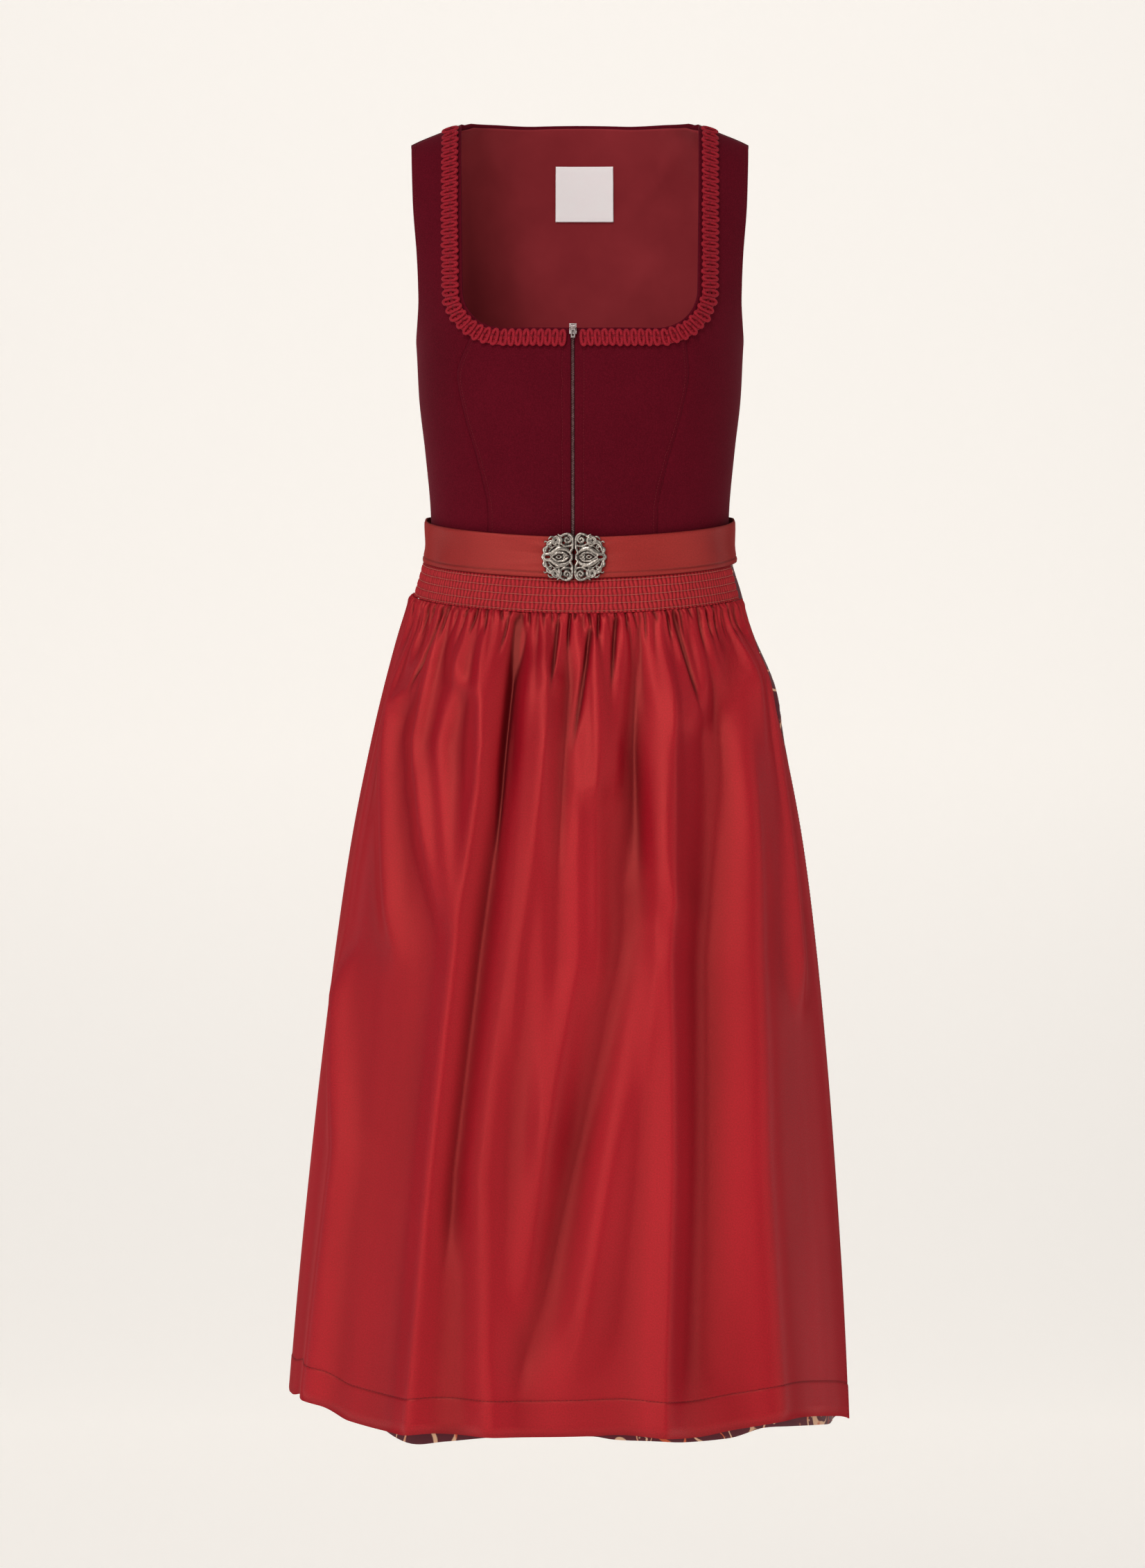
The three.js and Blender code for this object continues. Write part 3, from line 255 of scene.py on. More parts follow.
def form(bearing, z):
    bearing, z = np.broadcast_arrays(np.asarray(bearing, float), np.asarray(z, float))
    s, c = np.sin(np.radians(bearing)), np.cos(np.radians(bearing))
    square = square_at(z)
    unit = (np.abs(s) ** square + np.abs(c) ** square) ** (1 / square)
    x = half_width_at(z) * s / unit
    is_back = c < 0
    held = 1 - smoothstep(*SHOULDER_HOLD, -z)
    below = np.maximum(0, shoulder_line(x, is_back) * held - z)
    depth = np.where(is_back, back_depth_at(below), front_depth_at(below))
    from_cup = ((np.abs(x) - CUP["x"]) ** 2 + (z - CUP["z"]) ** 2) / (2 * CUP["spread"] ** 2)
    cup = np.where(is_back, 0, CUP["stands"] * np.exp(-from_cup))
    lean = HEM_LEAN_X * smoothstep(*LEAN_SPAN, -z)
    return np.stack([lean + x, CENTRE_Y - (depth + cup) * c / unit, z], -1)


def unit_vectors(v):
    return v / np.maximum(np.linalg.norm(v, axis=-1, keepdims=True), 1e-9)


def form_normal(bearing, z):
    across = form(bearing + 0.5, z) - form(bearing - 0.5, z)
    up = form(bearing, z + 1) - form(bearing, z - 1)
    return unit_vectors(np.cross(across, up))


def bearing_of(x, z, is_back=False):
    x, z = np.broadcast_arrays(np.asarray(x, float), np.asarray(z, float))
    share = np.minimum(0.9999, np.abs(x) / half_width_at(z))
    square = square_at(z)
    other = (1 - share ** square) ** (1 / square)
    bearing = np.sign(x) * np.degrees(np.arctan2(share, other))
    return 180 - bearing if is_back else bearing


def belt_top(bearing):
    return BELT_TOP_SIDE_Z - BELT_DIP * (0.5 + 0.5 * np.cos(np.radians(bearing))) ** 2


def waist_seam(bearing):
    return belt_top(bearing) - BELT_WIDTH / 2


def smock_bottom(bearing):
    return belt_top(bearing) - SMOCK_BOTTOM_DROP


def patch(left, right, bottom, top):
    """A patch between four edge curves, each giving a bearing and a height."""
    ends = np.array([0.0, 1.0])
    low_left, high_left = np.stack(left(ends), -1)
    low_right, high_right = np.stack(right(ends), -1)

    def place(u, v):
        result = []
        for i in (0, 1):
            sides = lerp(left(v)[i], right(v)[i], u)
            rest = lerp(bottom(u)[i], top(u)[i], v)
            low = lerp(low_left[i], low_right[i], u)
            high = lerp(high_left[i], high_right[i], u)
            result.append(sides + rest - lerp(low, high, v))
        return result

    return place


def neck_sizes(side):
    flat = NECK_BOTTOM_HALF - NECK_CORNER_RADIUS - side * ZIP_X
    arc = NECK_CORNER_RADIUS * math.pi / 2
    rise = SHOULDER_NECK[1] - NECK_BOTTOM_Z - NECK_CORNER_RADIUS
    return flat, arc, rise


def neck_length(side):
    return sum(neck_sizes(side))


def neck_line(side, way, out=0.0):
    """The neck edge in the front view, from the zip round the corner to the shoulder."""
    flat, arc, rise = neck_sizes(side)
    corner_x = NECK_BOTTOM_HALF - NECK_CORNER_RADIUS
    corner_z = NECK_BOTTOM_Z + NECK_CORNER_RADIUS
    run = np.asarray(way, float) * (flat + arc + rise)
    turn = (run - flat) / NECK_CORNER_RADIUS
    radius = NECK_CORNER_RADIUS + out
    up = (run - flat - arc) / rise
    side_x = lerp(NECK_BOTTOM_HALF, SHOULDER_NECK[0], up) + out
    choices = [run <= flat, run <= flat + arc]
    x = np.select(choices, [side * ZIP_X + run, corner_x + radius * np.sin(turn)], side_x)
    high = lerp(corner_z, shoulder_line(side_x, False), up)
    z = np.select(choices, [NECK_BOTTOM_Z - out + 0 * run, corner_z - radius * np.cos(turn)], high)
    return side * x, z


def neck_place(side, way, out=0.0):
    x, z = neck_line(side, way, out)
    return bearing_of(x, z), z


def seam_on_neck(side):
    flat, arc, _ = neck_sizes(side)
    return (flat + arc / 2) / neck_length(side)


def front_seam(side):
    top_x, top_z = neck_line(side, seam_on_neck(side))
    low_x = ZIP_X + side * FRONT_SEAM["from_zip"][0]
    low_z = waist_seam(bearing_of(low_x, WAIST_SIDE_Z))

    def place(way):
        z = lerp(low_z, top_z, way)
        x = lerp(ZIP_X + side * front_seam_at(z), top_x, smoothstep(0.75, 1, way))
        return bearing_of(x, z), z

    return place


def side_seam(side, behind=False):
    def place(way):
        bearing = lerp(SIDE_SEAM_WAIST_BEARING, UNDERARM_BEARING, way)
        z = lerp(waist_seam(bearing), UNDERARM_Z, way)
        if side > 0:
            return bearing, z
        return (360 - bearing if behind else -bearing), z

    return place


def back_bearing(side, bearing):
    return bearing if side > 0 else 360 - bearing


def armhole(side, part):
    bearing = curve_of(ARMHOLE, "way", part)
    height = curve_of(ARMHOLE, "way", part + "_z")
    if part == "front":
        return lambda way: (side * bearing(way), height(way))
    return lambda way: (back_bearing(side, bearing(way)), height(way))


def back_seam(side):
    arm_bearing, arm_z = armhole(1, "back")(np.array(BACK_SEAM_ON_ARMHOLE))

    def place(way):
        way = np.asarray(way, float)
        z = np.where(way == 0, waist_seam(180.0), back_seam_z(way))
        bearing = bearing_of(back_seam_x(way), z, True)
        joined = smoothstep(0.87, 1, way)
        return back_bearing(side, lerp(bearing, arm_bearing, joined)), lerp(z, arm_z, joined)

    return place


def waist_between(start, end):
    return lambda way: (lerp(start, end, way), waist_seam(lerp(start, end, way)))


def line_between(a, b):
    return lambda way: (lerp(a[0], b[0], way), lerp(a[1], b[1], way))


def back_neck_z(x):
    away = np.abs(x)
    lift = BACK_NECK_LIFT["middle"] + BACK_NECK_LIFT["side"] * smoothstep(
        BACK_NECK_LIFT["from_x"], BACK_NECK_LIFT["to_x"], away)
    lift = lift * (1 - smoothstep(BACK_NECK_LIFT["ends_x"], SHOULDER_NECK[0], away))
    return BACK_NECK_Z - (BACK_NECK_Z - SHOULDER_NECK[1]) * (x / SHOULDER_NECK[0]) ** 2 + lift


def round_shoulder_tip(points):
    """Lets the outer corner of the shoulder fall away in a curve."""
    away = np.abs(points[..., 0]) - TIP_ROUND["from_x"]
    share = np.clip(away / TIP_ROUND["reach"], 0, 1) ** 2
    points[..., 2] -= TIP_ROUND["fall"] * share * smoothstep(-60, SHOULDER_TIP[1], points[..., 2])
    return points


def back_top_edge(way):
    share = BACK_STRAP_SHARE
    neck_x, tip_x = SHOULDER_NECK[0], SHOULDER_TIP[0]
    middle = lerp(neck_x, -neck_x, (way - share) / (1 - 2 * share))
    x = np.where(way < share, lerp(tip_x, neck_x, way / share), middle)
    x = np.where(way > 1 - share, -lerp(tip_x, neck_x, (1 - way) / share), x)
    z = np.where(np.abs(x) >= neck_x, shoulder_line(x, False), back_neck_z(x))
    return bearing_of(x, z, True), z


def shoulder_seam(side):
    def place(way):
        x = side * lerp(SHOULDER_NECK[0], SHOULDER_TIP[0], way)
        z = shoulder_line(x, False)
        return bearing_of(x, z), z

    return place


def fold_height(folds, bearing, drop, radius):
    total = np.zeros(np.broadcast(bearing, drop).shape)
    for fold in folds:
        centre = np.interp(drop, FOLD_DROPS, [fold[f"b{level}"] for level in FOLD_DROPS])
        away = np.abs(np.radians(bearing - centre) * radius) / fold["width"]
        grow = smoothstep(fold["start"], fold["start"] + FOLD_FADE, drop)
        fade = 1 - smoothstep(fold["end"] - FOLD_FADE, fold["end"], drop)
        total = total + fold["height"] * grow * fade * np.exp(-away ** (2 / fold["sharp"] ** 0.5))
    return total


def gather_height(gathers, bearing, drop, period):
    phase = bearing / period * 2 * math.pi
    uneven = 0.75 + 0.25 * np.sin(bearing * 0.37) * np.cos(bearing * 0.11)
    fade = np.exp(-np.maximum(0, drop) / (gathers["fade"] * 0.5 * uneven))
    return gathers["height"] * uneven * fade * (0.5 + 0.5 * np.cos(phase))


# Meshes.

def add_object(name, points, faces, material, uv=None, smooth=True):
    mesh = bpy.data.meshes.new(name)
    mesh.from_pydata((np.asarray(points) * MM).tolist(), [], [tuple(f) for f in faces])
    mesh.validate()
    if uv is not None:
        layer = mesh.uv_layers.new(name="cloth")
        vertex = np.zeros(len(mesh.loops), np.int32)
        mesh.loops.foreach_get("vertex_index", vertex)
        layer.data.foreach_set("uv", (np.asarray(uv)[vertex] * MM).astype(np.float32).ravel())
    mesh.polygons.foreach_set("use_smooth", [smooth] * len(mesh.polygons))
    mesh.materials.append(material)
    obj = bpy.data.objects.new(name, mesh)
    bpy.context.scene.collection.objects.link(obj)
    return obj


def grid_faces(rows, columns, start=0, flip=False):
    r, c = np.meshgrid(np.arange(rows - 1), np.arange(columns - 1), indexing="ij")
    a = (start + r * columns + c).ravel()
    quads = np.stack([a, a + 1, a + 1 + columns, a + columns], -1)
    return quads[:, ::-1] if flip else quads


def surface_normals(points):
    across = np.gradient(points, axis=1)
    up = np.gradient(points, axis=0)
    return unit_vectors(np.cross(across, up))


def cloth_uv(points):
    """Distances along the cloth: across each row from its middle, and up its columns."""
    steps = np.linalg.norm(np.diff(points, axis=1), axis=-1)
    across = np.concatenate([np.zeros((len(points), 1)), np.cumsum(steps, 1)], 1)
    middle = across[:, across.shape[1] // 2][:, None]
    return np.stack([across - middle, points[..., 2]], -1)


def wall(name, outer, thickness, material, smooth_normals=None, shade=None):
    """A closed thin wall: an outer grid of points, and inner points a thickness behind.

    The shade is a value per outer point that the cloth's material darkens by.
    """
    rows, columns, _ = outer.shape
    normals = surface_normals(outer) if smooth_normals is None else smooth_normals
    inner = outer - normals * thickness
    points = np.concatenate([outer.reshape(-1, 3), inner.reshape(-1, 3)])
    count = rows * columns
    faces = [grid_faces(rows, columns), grid_faces(rows, columns, count, True)]
    ids = np.arange(count).reshape(rows, columns)
    for edge in (ids[0], ids[:, -1], ids[-1][::-1], ids[:, 0][::-1]):
        a, b = edge[:-1], edge[1:]
        faces.append(np.stack([a, a + count, b + count, b], -1))
    uv = cloth_uv(outer).reshape(-1, 2)
    faces = np.concatenate(faces).tolist()
    obj = add_object(name, points, faces, material, np.concatenate([uv, uv]))
    if shade is not None:
        values = np.concatenate([shade.ravel(), shade.ravel()]).astype(np.float32)
        obj.data.attributes.new("shade", "FLOAT", "POINT").data.foreach_set("value", values)
    return obj


def blurred(field, reach):
    """A field smoothed along its rows."""
    offsets = np.arange(-3 * reach, 3 * reach + 1)
    kernel = np.exp(-(offsets / reach) ** 2)
    padded = np.pad(field, ((0, 0), (3 * reach, 3 * reach)), mode="edge")
    rows = [np.convolve(row, kernel / kernel.sum(), mode="valid") for row in padded]
    return np.array(rows)


def valley_shade(height, reach, depth):
    """How far each point lies in a valley between folds, from 0 to 1."""
    return np.clip((blurred(height, reach) - height) / depth, 0, 1)


def grid_over(place, columns, rows, stands=None, row_way=None):
    """Outer points over a patch, moved out by what stands() says, and the form's normals."""
    v = np.linspace(0, 1, rows + 1) if row_way is None else row_way
    u, v = np.meshgrid(np.linspace(0, 1, columns + 1), v)
    bearing, z = np.broadcast_arrays(*place(u, v))
    normals = form_normal(bearing, z)
    points = form(bearing, z)
    if stands:
        points = points + normals * stands(bearing, z, u, v)[..., None]
    return points, normals


def edge_distance(points, axis, last):
    """Distance of each grid point from one edge, along its row (axis 1) or column (axis 0)."""
    steps = np.linalg.norm(np.diff(points, axis=axis), axis=-1)
    zero_shape = list(points.shape[:2])
    zero_shape[axis] = 1
    run = np.concatenate([np.zeros(zero_shape), np.cumsum(steps, axis)], axis)
    if last:
        run = np.take(run, [-1], axis) - run
    return run


def tube(points, radius, sides=8, closed=False, flatten=1.0, up=None):
    """A round cord along points. Radius may vary along it. Returns vertices, faces and uv."""
    points = np.asarray(points, float)
    count = len(points)
    if closed:
        tangents = np.roll(points, -1, 0) - np.roll(points, 1, 0)
    else:
        tangents = np.gradient(points, axis=0)
    tangents = unit_vectors(tangents)
    reference = np.asarray(up if up is not None else (0.0, -1.0, 0.0), float)
    reference = np.broadcast_to(reference, points.shape)
    second = unit_vectors(np.cross(tangents, reference))
    first = unit_vectors(np.cross(second, tangents))
    turn = np.linspace(0, 2 * math.pi, sides, endpoint=False)
    radius = np.broadcast_to(np.asarray(radius, float), (count,))[:, None, None]
    ring = (second[:, None] * np.cos(turn)[None, :, None]
            + first[:, None] * np.sin(turn)[None, :, None] * flatten)
    verts = (points[:, None] + ring * radius).reshape(-1, 3)
    faces = []
    spans = count if closed else count - 1
    for i in range(spans):
        j = (i + 1) % count
        for k in range(sides):
            m = (k + 1) % sides
            faces.append((i * sides + k, i * sides + m, j * sides + m, j * sides + k))
    if not closed:
        faces.append(tuple(range(sides))[::-1])
        faces.append(tuple((count - 1) * sides + k for k in range(sides)))
    step = np.linalg.norm(np.diff(points, axis=0), axis=1)
    run = np.concatenate([[0], np.cumsum(step)])
    uv = np.stack(np.broadcast_arrays(run[:, None], turn[None, :]), -1).reshape(-1, 2)
    return verts, faces, uv


class Pieces:
    """Collects many small shapes into one mesh."""

    def __init__(self):
        self.verts, self.faces, self.uv, self.count = [], [], [], 0

    def add(self, verts, faces, uv=None):
        self.verts.append(np.asarray(verts, float))
        self.faces.extend(tuple(i + self.count for i in face) for face in faces)
        self.uv.append(np.zeros((len(verts), 2)) if uv is None else uv)
        self.count += len(verts)

    def build(self, name, material, smooth=True):
        return add_object(name, np.concatenate(self.verts), self.faces, material,
                          np.concatenate(self.uv), smooth)


BOX_FACES = [(0, 3, 2, 1), (4, 5, 6, 7), (0, 1, 5, 4), (1, 2, 6, 5), (2, 3, 7, 6), (3, 0, 4, 7)]


def box_shape(centre, half, axes):
    """A box with its half sizes along three axes."""
    corners = [(-1, -1, -1), (1, -1, -1), (1, 1, -1), (-1, 1, -1),
               (-1, -1, 1), (1, -1, 1), (1, 1, 1), (-1, 1, 1)]
    scaled = np.array(corners, float) * np.asarray(half, float)
    return np.asarray(centre) + scaled @ np.asarray(axes, float), BOX_FACES


# Materials.

def new_material(name):
    material = bpy.data.materials.new(name)
    material.use_nodes = True
    tree = material.node_tree
    return material, tree, tree.nodes["Principled BSDF"]


def add_node(tree, kind, inputs=None, **settings):
    node = tree.nodes.new(kind)
    for key, value in settings.items():
        setattr(node, key, value)
    for key, value in (inputs or {}).items():
        if isinstance(value, bpy.types.NodeSocket):
            tree.links.new(value, node.inputs[key])
        else:
            node.inputs[key].default_value = value
    return node


def mix_colour(tree, factor, a, b, blend="MIX"):
    node = add_node(tree, "ShaderNodeMix", data_type="RGBA", blend_type=blend)
    for index, value in ((0, factor), (6, a), (7, b)):
        if isinstance(value, bpy.types.NodeSocket):
            tree.links.new(value, node.inputs[index])
        else:
            node.inputs[index].default_value = value
    return node.outputs[2]


def maths(tree, operation, a, b=0.0):
    return add_node(tree, "ShaderNodeMath", {0: a, 1: b}, operation=operation).outputs[0]


def ramp(tree, factor, *stops):
    node = add_node(tree, "ShaderNodeValToRGB", {"Fac": factor})
    elements = node.color_ramp.elements
    while len(elements) < len(stops):
        elements.new(0.5)
    for element, (place, value) in zip(elements, stops):
        element.position = place
        element.color = value if hasattr(value, "__len__") else (value, value, value, 1)
    return node.outputs[0]


def uv_scaled(tree, across, along):
    """The cloth's own coordinates in metres, scaled."""
    uv = add_node(tree, "ShaderNodeUVMap", uv_map="cloth")
    scaled = add_node(tree, "ShaderNodeMapping", {"Vector": uv.outputs[0], "Scale": (across, along, 1)})
    return scaled.outputs[0]


def object_scaled(tree, scale):
    place = add_node(tree, "ShaderNodeTexCoord")
    scaled = add_node(tree, "ShaderNodeMapping", {"Vector": place.outputs["Object"], "Scale": scale})
    return scaled.outputs[0]


def noise(tree, vector, scale, detail=3.0, roughness=0.55):
    inputs = {"Vector": vector, "Scale": scale, "Detail": detail, "Roughness": roughness}
    return add_node(tree, "ShaderNodeTexNoise", inputs).outputs[0]


def bump(tree, height, distance, strength=1.0, after=None):
    inputs = {"Height": height, "Distance": distance, "Strength": strength}
    if after is not None:
        inputs["Normal"] = after
    return add_node(tree, "ShaderNodeBump", inputs).outputs[0]


def weave_height(tree, threads_per_mm):
    """A plain weave: two sets of threads crossing."""
    scale = threads_per_mm / MM
    parts = add_node(tree, "ShaderNodeSeparateXYZ", {0: uv_scaled(tree, scale, scale)}).outputs
    waves = [maths(tree, "SINE", maths(tree, "MULTIPLY", parts[i], 2 * math.pi)) for i in (0, 1)]
    return maths(tree, "MULTIPLY", maths(tree, "MULTIPLY", *waves), 0.5)


def shade_of(tree):
    """The shade that a mesh carries at its points, for valleys and recesses."""
    return add_node(tree, "ShaderNodeAttribute", attribute_name="shade").outputs["Fac"]


def rgba(r, g, b):
    """A colour given as screen values from 0 to 255."""
    def linear(v):
        v = v / 255
        return v / 12.92 if v <= 0.04045 else ((v + 0.055) / 1.055) ** 2.4
    return (linear(r), linear(g), linear(b), 1)


def set_shader(tree, shader, colour=None, roughness=None, normal=None, **constants):
    for socket, value in (("Base Color", colour), ("Roughness", roughness), ("Normal", normal)):
        if value is None:
            continue
        if isinstance(value, bpy.types.NodeSocket):
            tree.links.new(value, shader.inputs[socket])
        else:
            shader.inputs[socket].default_value = value
    for key, value in constants.items():
        shader.inputs[key.replace("_", " ")].default_value = value


def felt_material():
    material, tree, shader = new_material("felt")
    place = object_scaled(tree, (1, 1, 1))
    cloud = noise(tree, place, 9, 4)
    nap = noise(tree, place, 900, 4, 0.7)
    fibres = noise(tree, object_scaled(tree, (1, 1, 0.35)), 2200, 2, 0.6)
    clouds = ramp(tree, cloud, (0.3, 0.0), (0.7, 1.0))
    base = mix_colour(tree, clouds, rgba(70, 4, 17), rgba(81, 7, 22))
    speckle = ramp(tree, nap, (0.4, 0.0), (0.75, 1.0))
    colour = mix_colour(tree, maths(tree, "MULTIPLY", speckle, 0.5), base, rgba(114, 17, 36))
    height = maths(tree, "ADD", nap, maths(tree, "MULTIPLY", fibres, 0.6))
    set_shader(tree, shader, colour, 0.92, bump(tree, height, 0.0004, 0.55),
               Sheen_Weight=0.12, Sheen_Roughness=0.5, Sheen_Tint=(0.6, 0.08, 0.15, 1),
               Specular_IOR_Level=0.06)
    return material


def satin_material(name, painted_shade_colour, middle, warm, rust, roughness):
    """Shot cloth: a crimson ground with a rust shine, and painted shade in its valleys and grooves."""
    material, tree, shader = new_material(name)
    facing = add_node(tree, "ShaderNodeLayerWeight", {"Blend": 0.4}).outputs["Facing"]
    cloud = noise(tree, uv_scaled(tree, 1, 0.25), 11, 2)
    ground = mix_colour(tree, ramp(tree, cloud, (0.38, 0.0), (0.66, 1.0)), middle, warm)
    # Painted shade: the mesh's shade attribute darkens the ground towards the deep colour in valleys,
    # creases and grooves.
    colour = mix_colour(tree, shade_of(tree), ground, painted_shade_colour)
    fleck = ramp(tree, noise(tree, uv_scaled(tree, 1, 1), 800, 2, 0.6), (0.3, 0.0), (0.7, 1.0))
    flecks = mix_colour(tree, fleck, (0.62, 0.62, 0.62, 1), (1.06, 1.06, 1.06, 1))
    colour = mix_colour(tree, 1.0, colour, flecks, "MULTIPLY")
    threads = weave_height(tree, 4.0)
    grain = noise(tree, uv_scaled(tree, 1, 0.5), 1500, 2)
    fine = maths(tree, "ADD", threads, maths(tree, "MULTIPLY", grain, 0.9))
    soft = noise(tree, uv_scaled(tree, 1, 0.2), 34, 2)
    normal = bump(tree, fine, 0.00008, 0.4, bump(tree, soft, 0.001, 0.2))
    rough = maths(tree, "MAXIMUM", roughness, ramp(tree, facing, (0.3, 0.3), (0.62, 1.0)))
    set_shader(tree, shader, colour, rough, normal, Metallic=0.1, IOR=1.9, Specular_Tint=rust,
               Specular_IOR_Level=0.68)
    return material


def lining_material():
    material, tree, shader = new_material("lining")
    cloud = ramp(tree, noise(tree, object_scaled(tree, (1, 1, 1)), 14, 4), (0.3, 0.0), (0.7, 1.0))
    colour = mix_colour(tree, cloud, rgba(128, 33, 40), rgba(142, 42, 48))
    normal = bump(tree, weave_height(tree, 2.6), 0.00008, 0.5)
    normal = bump(tree, noise(tree, object_scaled(tree, (1, 1, 0.5)), 30, 3), 0.0012, 0.25, normal)
    set_shader(tree, shader, colour, 0.8, normal, Sheen_Weight=0.05, Specular_IOR_Level=0.12)
    return material


def label_material():
    material, tree, shader = new_material("label")
    cloud = noise(tree, object_scaled(tree, (1, 1, 1)), 60, 3)
    colour = mix_colour(tree, cloud, rgba(255, 244, 247), rgba(255, 252, 253))
    set_shader(tree, shader, colour, 0.5, bump(tree, weave_height(tree, 3.5), 0.00008, 0.6),
               Sheen_Weight=0.2, Specular_IOR_Level=0.4)
    return material


def cord_material(name, dark, light, twist=700.0):
    material, tree, shader = new_material(name)
    parts = add_node(tree, "ShaderNodeSeparateXYZ", {0: uv_scaled(tree, twist, 1000)}).outputs
    turns = maths(tree, "MULTIPLY", parts[0], 2 * math.pi)
    twisted = maths(tree, "SINE", maths(tree, "ADD", turns, parts[1]))
    fuzz = noise(tree, object_scaled(tree, (1, 1, 1)), 1400, 3)
    tone = ramp(tree, fuzz, (0.3, 0.0), (0.7, 1.0))
    colour = mix_colour(tree, tone, dark, light)
    height = maths(tree, "ADD", maths(tree, "MULTIPLY", twisted, 0.5), fuzz)
    set_shader(tree, shader, colour, 0.7, bump(tree, height, 0.0003, 0.7), Sheen_Weight=0.12,
               Sheen_Roughness=0.4, Sheen_Tint=(1, 0.3, 0.35, 1), Specular_IOR_Level=0.2)
    return material


def silver_material(name, dark, light, roughness):
    material, tree, shader = new_material(name)
    place = object_scaled(tree, (1, 1, 1))
    patina = noise(tree, place, 420, 4, 0.65)
    worn = mix_colour(tree, ramp(tree, patina, (0.38, 0.35), (0.6, 1.0)), dark, light)
    colour = mix_colour(tree, ramp(tree, shade_of(tree), (0.3, 0.0), (0.95, 1.0)), worn, dark)
    set_shader(tree, shader, colour, ramp(tree, patina, (0.3, roughness + 0.12), (0.7, roughness)),
               bump(tree, patina, 0.00012, 0.3), Metallic=1.0)
    return material


def print_material():
    """Maroon cotton with a common scroll print: teardrops and curls outlined in orange and cream."""
    material, tree, shader = new_material("print")
    uv = uv_scaled(tree, 1, 1)
    drift = noise(tree, uv, 26, 2)
    warp = add_node(tree, "ShaderNodeTexNoise", {"Vector": uv, "Scale": 30.0, "Detail": 1.0})
    bent = add_node(tree, "ShaderNodeMix", {0: 0.028, 4: uv, 5: warp.outputs["Color"]}, data_type="VECTOR")
    cells = add_node(tree, "ShaderNodeTexVoronoi", {"Vector": bent.outputs[1], "Scale": 30.0,
                                                    "Randomness": 0.85}, feature="SMOOTH_F1")
    rings = maths(tree, "SINE", maths(tree, "MULTIPLY", cells.outputs["Distance"], 34.0))
    outline = ramp(tree, rings, (0.86, 0.0), (0.95, 1.0))
    small = add_node(tree, "ShaderNodeTexVoronoi", {"Vector": bent.outputs[1], "Scale": 150.0}, feature="F1")
    dots = ramp(tree, small.outputs["Distance"], (0.16, 1.0), (0.24, 0.0))
    gate = ramp(tree, drift, (0.5, 0.0), (0.56, 1.0))
    ink = maths(tree, "MAXIMUM", outline, maths(tree, "MULTIPLY", dots, gate))
    inks = mix_colour(tree, ramp(tree, noise(tree, uv, 55, 1), (0.45, 0.0), (0.55, 1.0)),
                      rgba(200, 86, 46), rgba(222, 176, 142))
    ground = mix_colour(tree, noise(tree, uv, 40, 3), rgba(72, 10, 26), rgba(96, 14, 34))
    colour = mix_colour(tree, ink, ground, inks)
    normal = bump(tree, weave_height(tree, 2.8), 0.00008, 0.5)
    set_shader(tree, shader, colour, 0.72, normal, Sheen_Weight=0.12, Specular_IOR_Level=0.3)
    return material


MATERIALS = {
    "felt": felt_material(),
    "apron": satin_material("apron_taffeta", rgba(80, 1, 14), rgba(154, 3, 31), rgba(168, 8, 36),
                            (1, 0.17, 0.13, 1), 0.36),
    "belt": satin_material("belt_satin", rgba(84, 8, 14), rgba(136, 24, 30), rgba(148, 32, 34),
                           (1, 0.22, 0.17, 1), 0.42),
    "smock": satin_material("smocked_satin", rgba(80, 4, 12), rgba(172, 26, 42), rgba(182, 34, 46),
                            (1, 0.16, 0.14, 1), 0.48),
    "lining": lining_material(),
    "label": label_material(),
    "braid": cord_material("braid_cord", rgba(112, 8, 26), rgba(168, 22, 40)),
    "thread": cord_material("sewing_thread", rgba(92, 8, 22), rgba(122, 16, 32), 2500),
    "smock_thread": cord_material("smocking_thread", rgba(202, 92, 84), rgba(228, 130, 116), 2500),
    "print": print_material(),
    "silver": silver_material("old_silver", rgba(36, 30, 28), rgba(182, 173, 164), 0.24),
    "zip_metal": silver_material("zip_metal", rgba(104, 84, 86), rgba(196, 184, 182), 0.3),
    "teeth": silver_material("zip_teeth", rgba(64, 34, 38), rgba(140, 108, 108), 0.4),
    "tape": cord_material("zip_tape", rgba(54, 8, 18), rgba(76, 12, 26), 1200),
}


def finish_piece(obj, slot, *nodes):
    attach(obj, DRESS)
    if nodes:
        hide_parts(*nodes)


def declare(flat):
    """Takes the flat cut that shows, in millimetres, as a width and a length, and does nothing more with it.
    """
    width, length = flat


# The bodice. Stitched lines run a distance in from a princess seam, the zip or a free edge.
SEAM_STITCH = 4.2
ZIP_STITCH = 7.5
EDGE_STITCH = 4.5
SIDE_COLUMNS = 64
SIDE_ROWS = 56
BACK_COLUMNS = 112
BACK_LOW_ROWS = 50
BACK_HIGH_ROWS = 36
# Columns and rows of the grids that lie over one patch each.
GRIDS = {"front_centre": (90, 56), "back_side": (60, 90), "lining": (90, 90), "label": (50, 46),
         "belt": (300, 50), "smocking": (SMOCK_RIBS * SMOCK_COLUMNS, 40)}


def stitched_line(pieces, points, normals, step=2.6, length=1.9, radius=0.22, rise=0.12):
    """Stitches lying along a line on the cloth."""
    spans = np.linalg.norm(np.diff(points, axis=0), axis=1)
    run = np.concatenate([[0], np.cumsum(spans)])
    starts = np.arange(step / 2, run[-1] - length, step)
    for start in starts:
        ways = np.linspace(start, start + length, 4)
        line = np.stack([np.interp(ways, run, points[:, i]) for i in range(3)], -1)
        normal = np.array([np.interp(start, run, normals[:, i]) for i in range(3)])
        arch = np.array([-radius * 0.9, rise, rise, -radius * 0.9])
        pieces.add(*tube(line + normal * arch[:, None], radius, 5, up=normal))


stitches = Pieces()


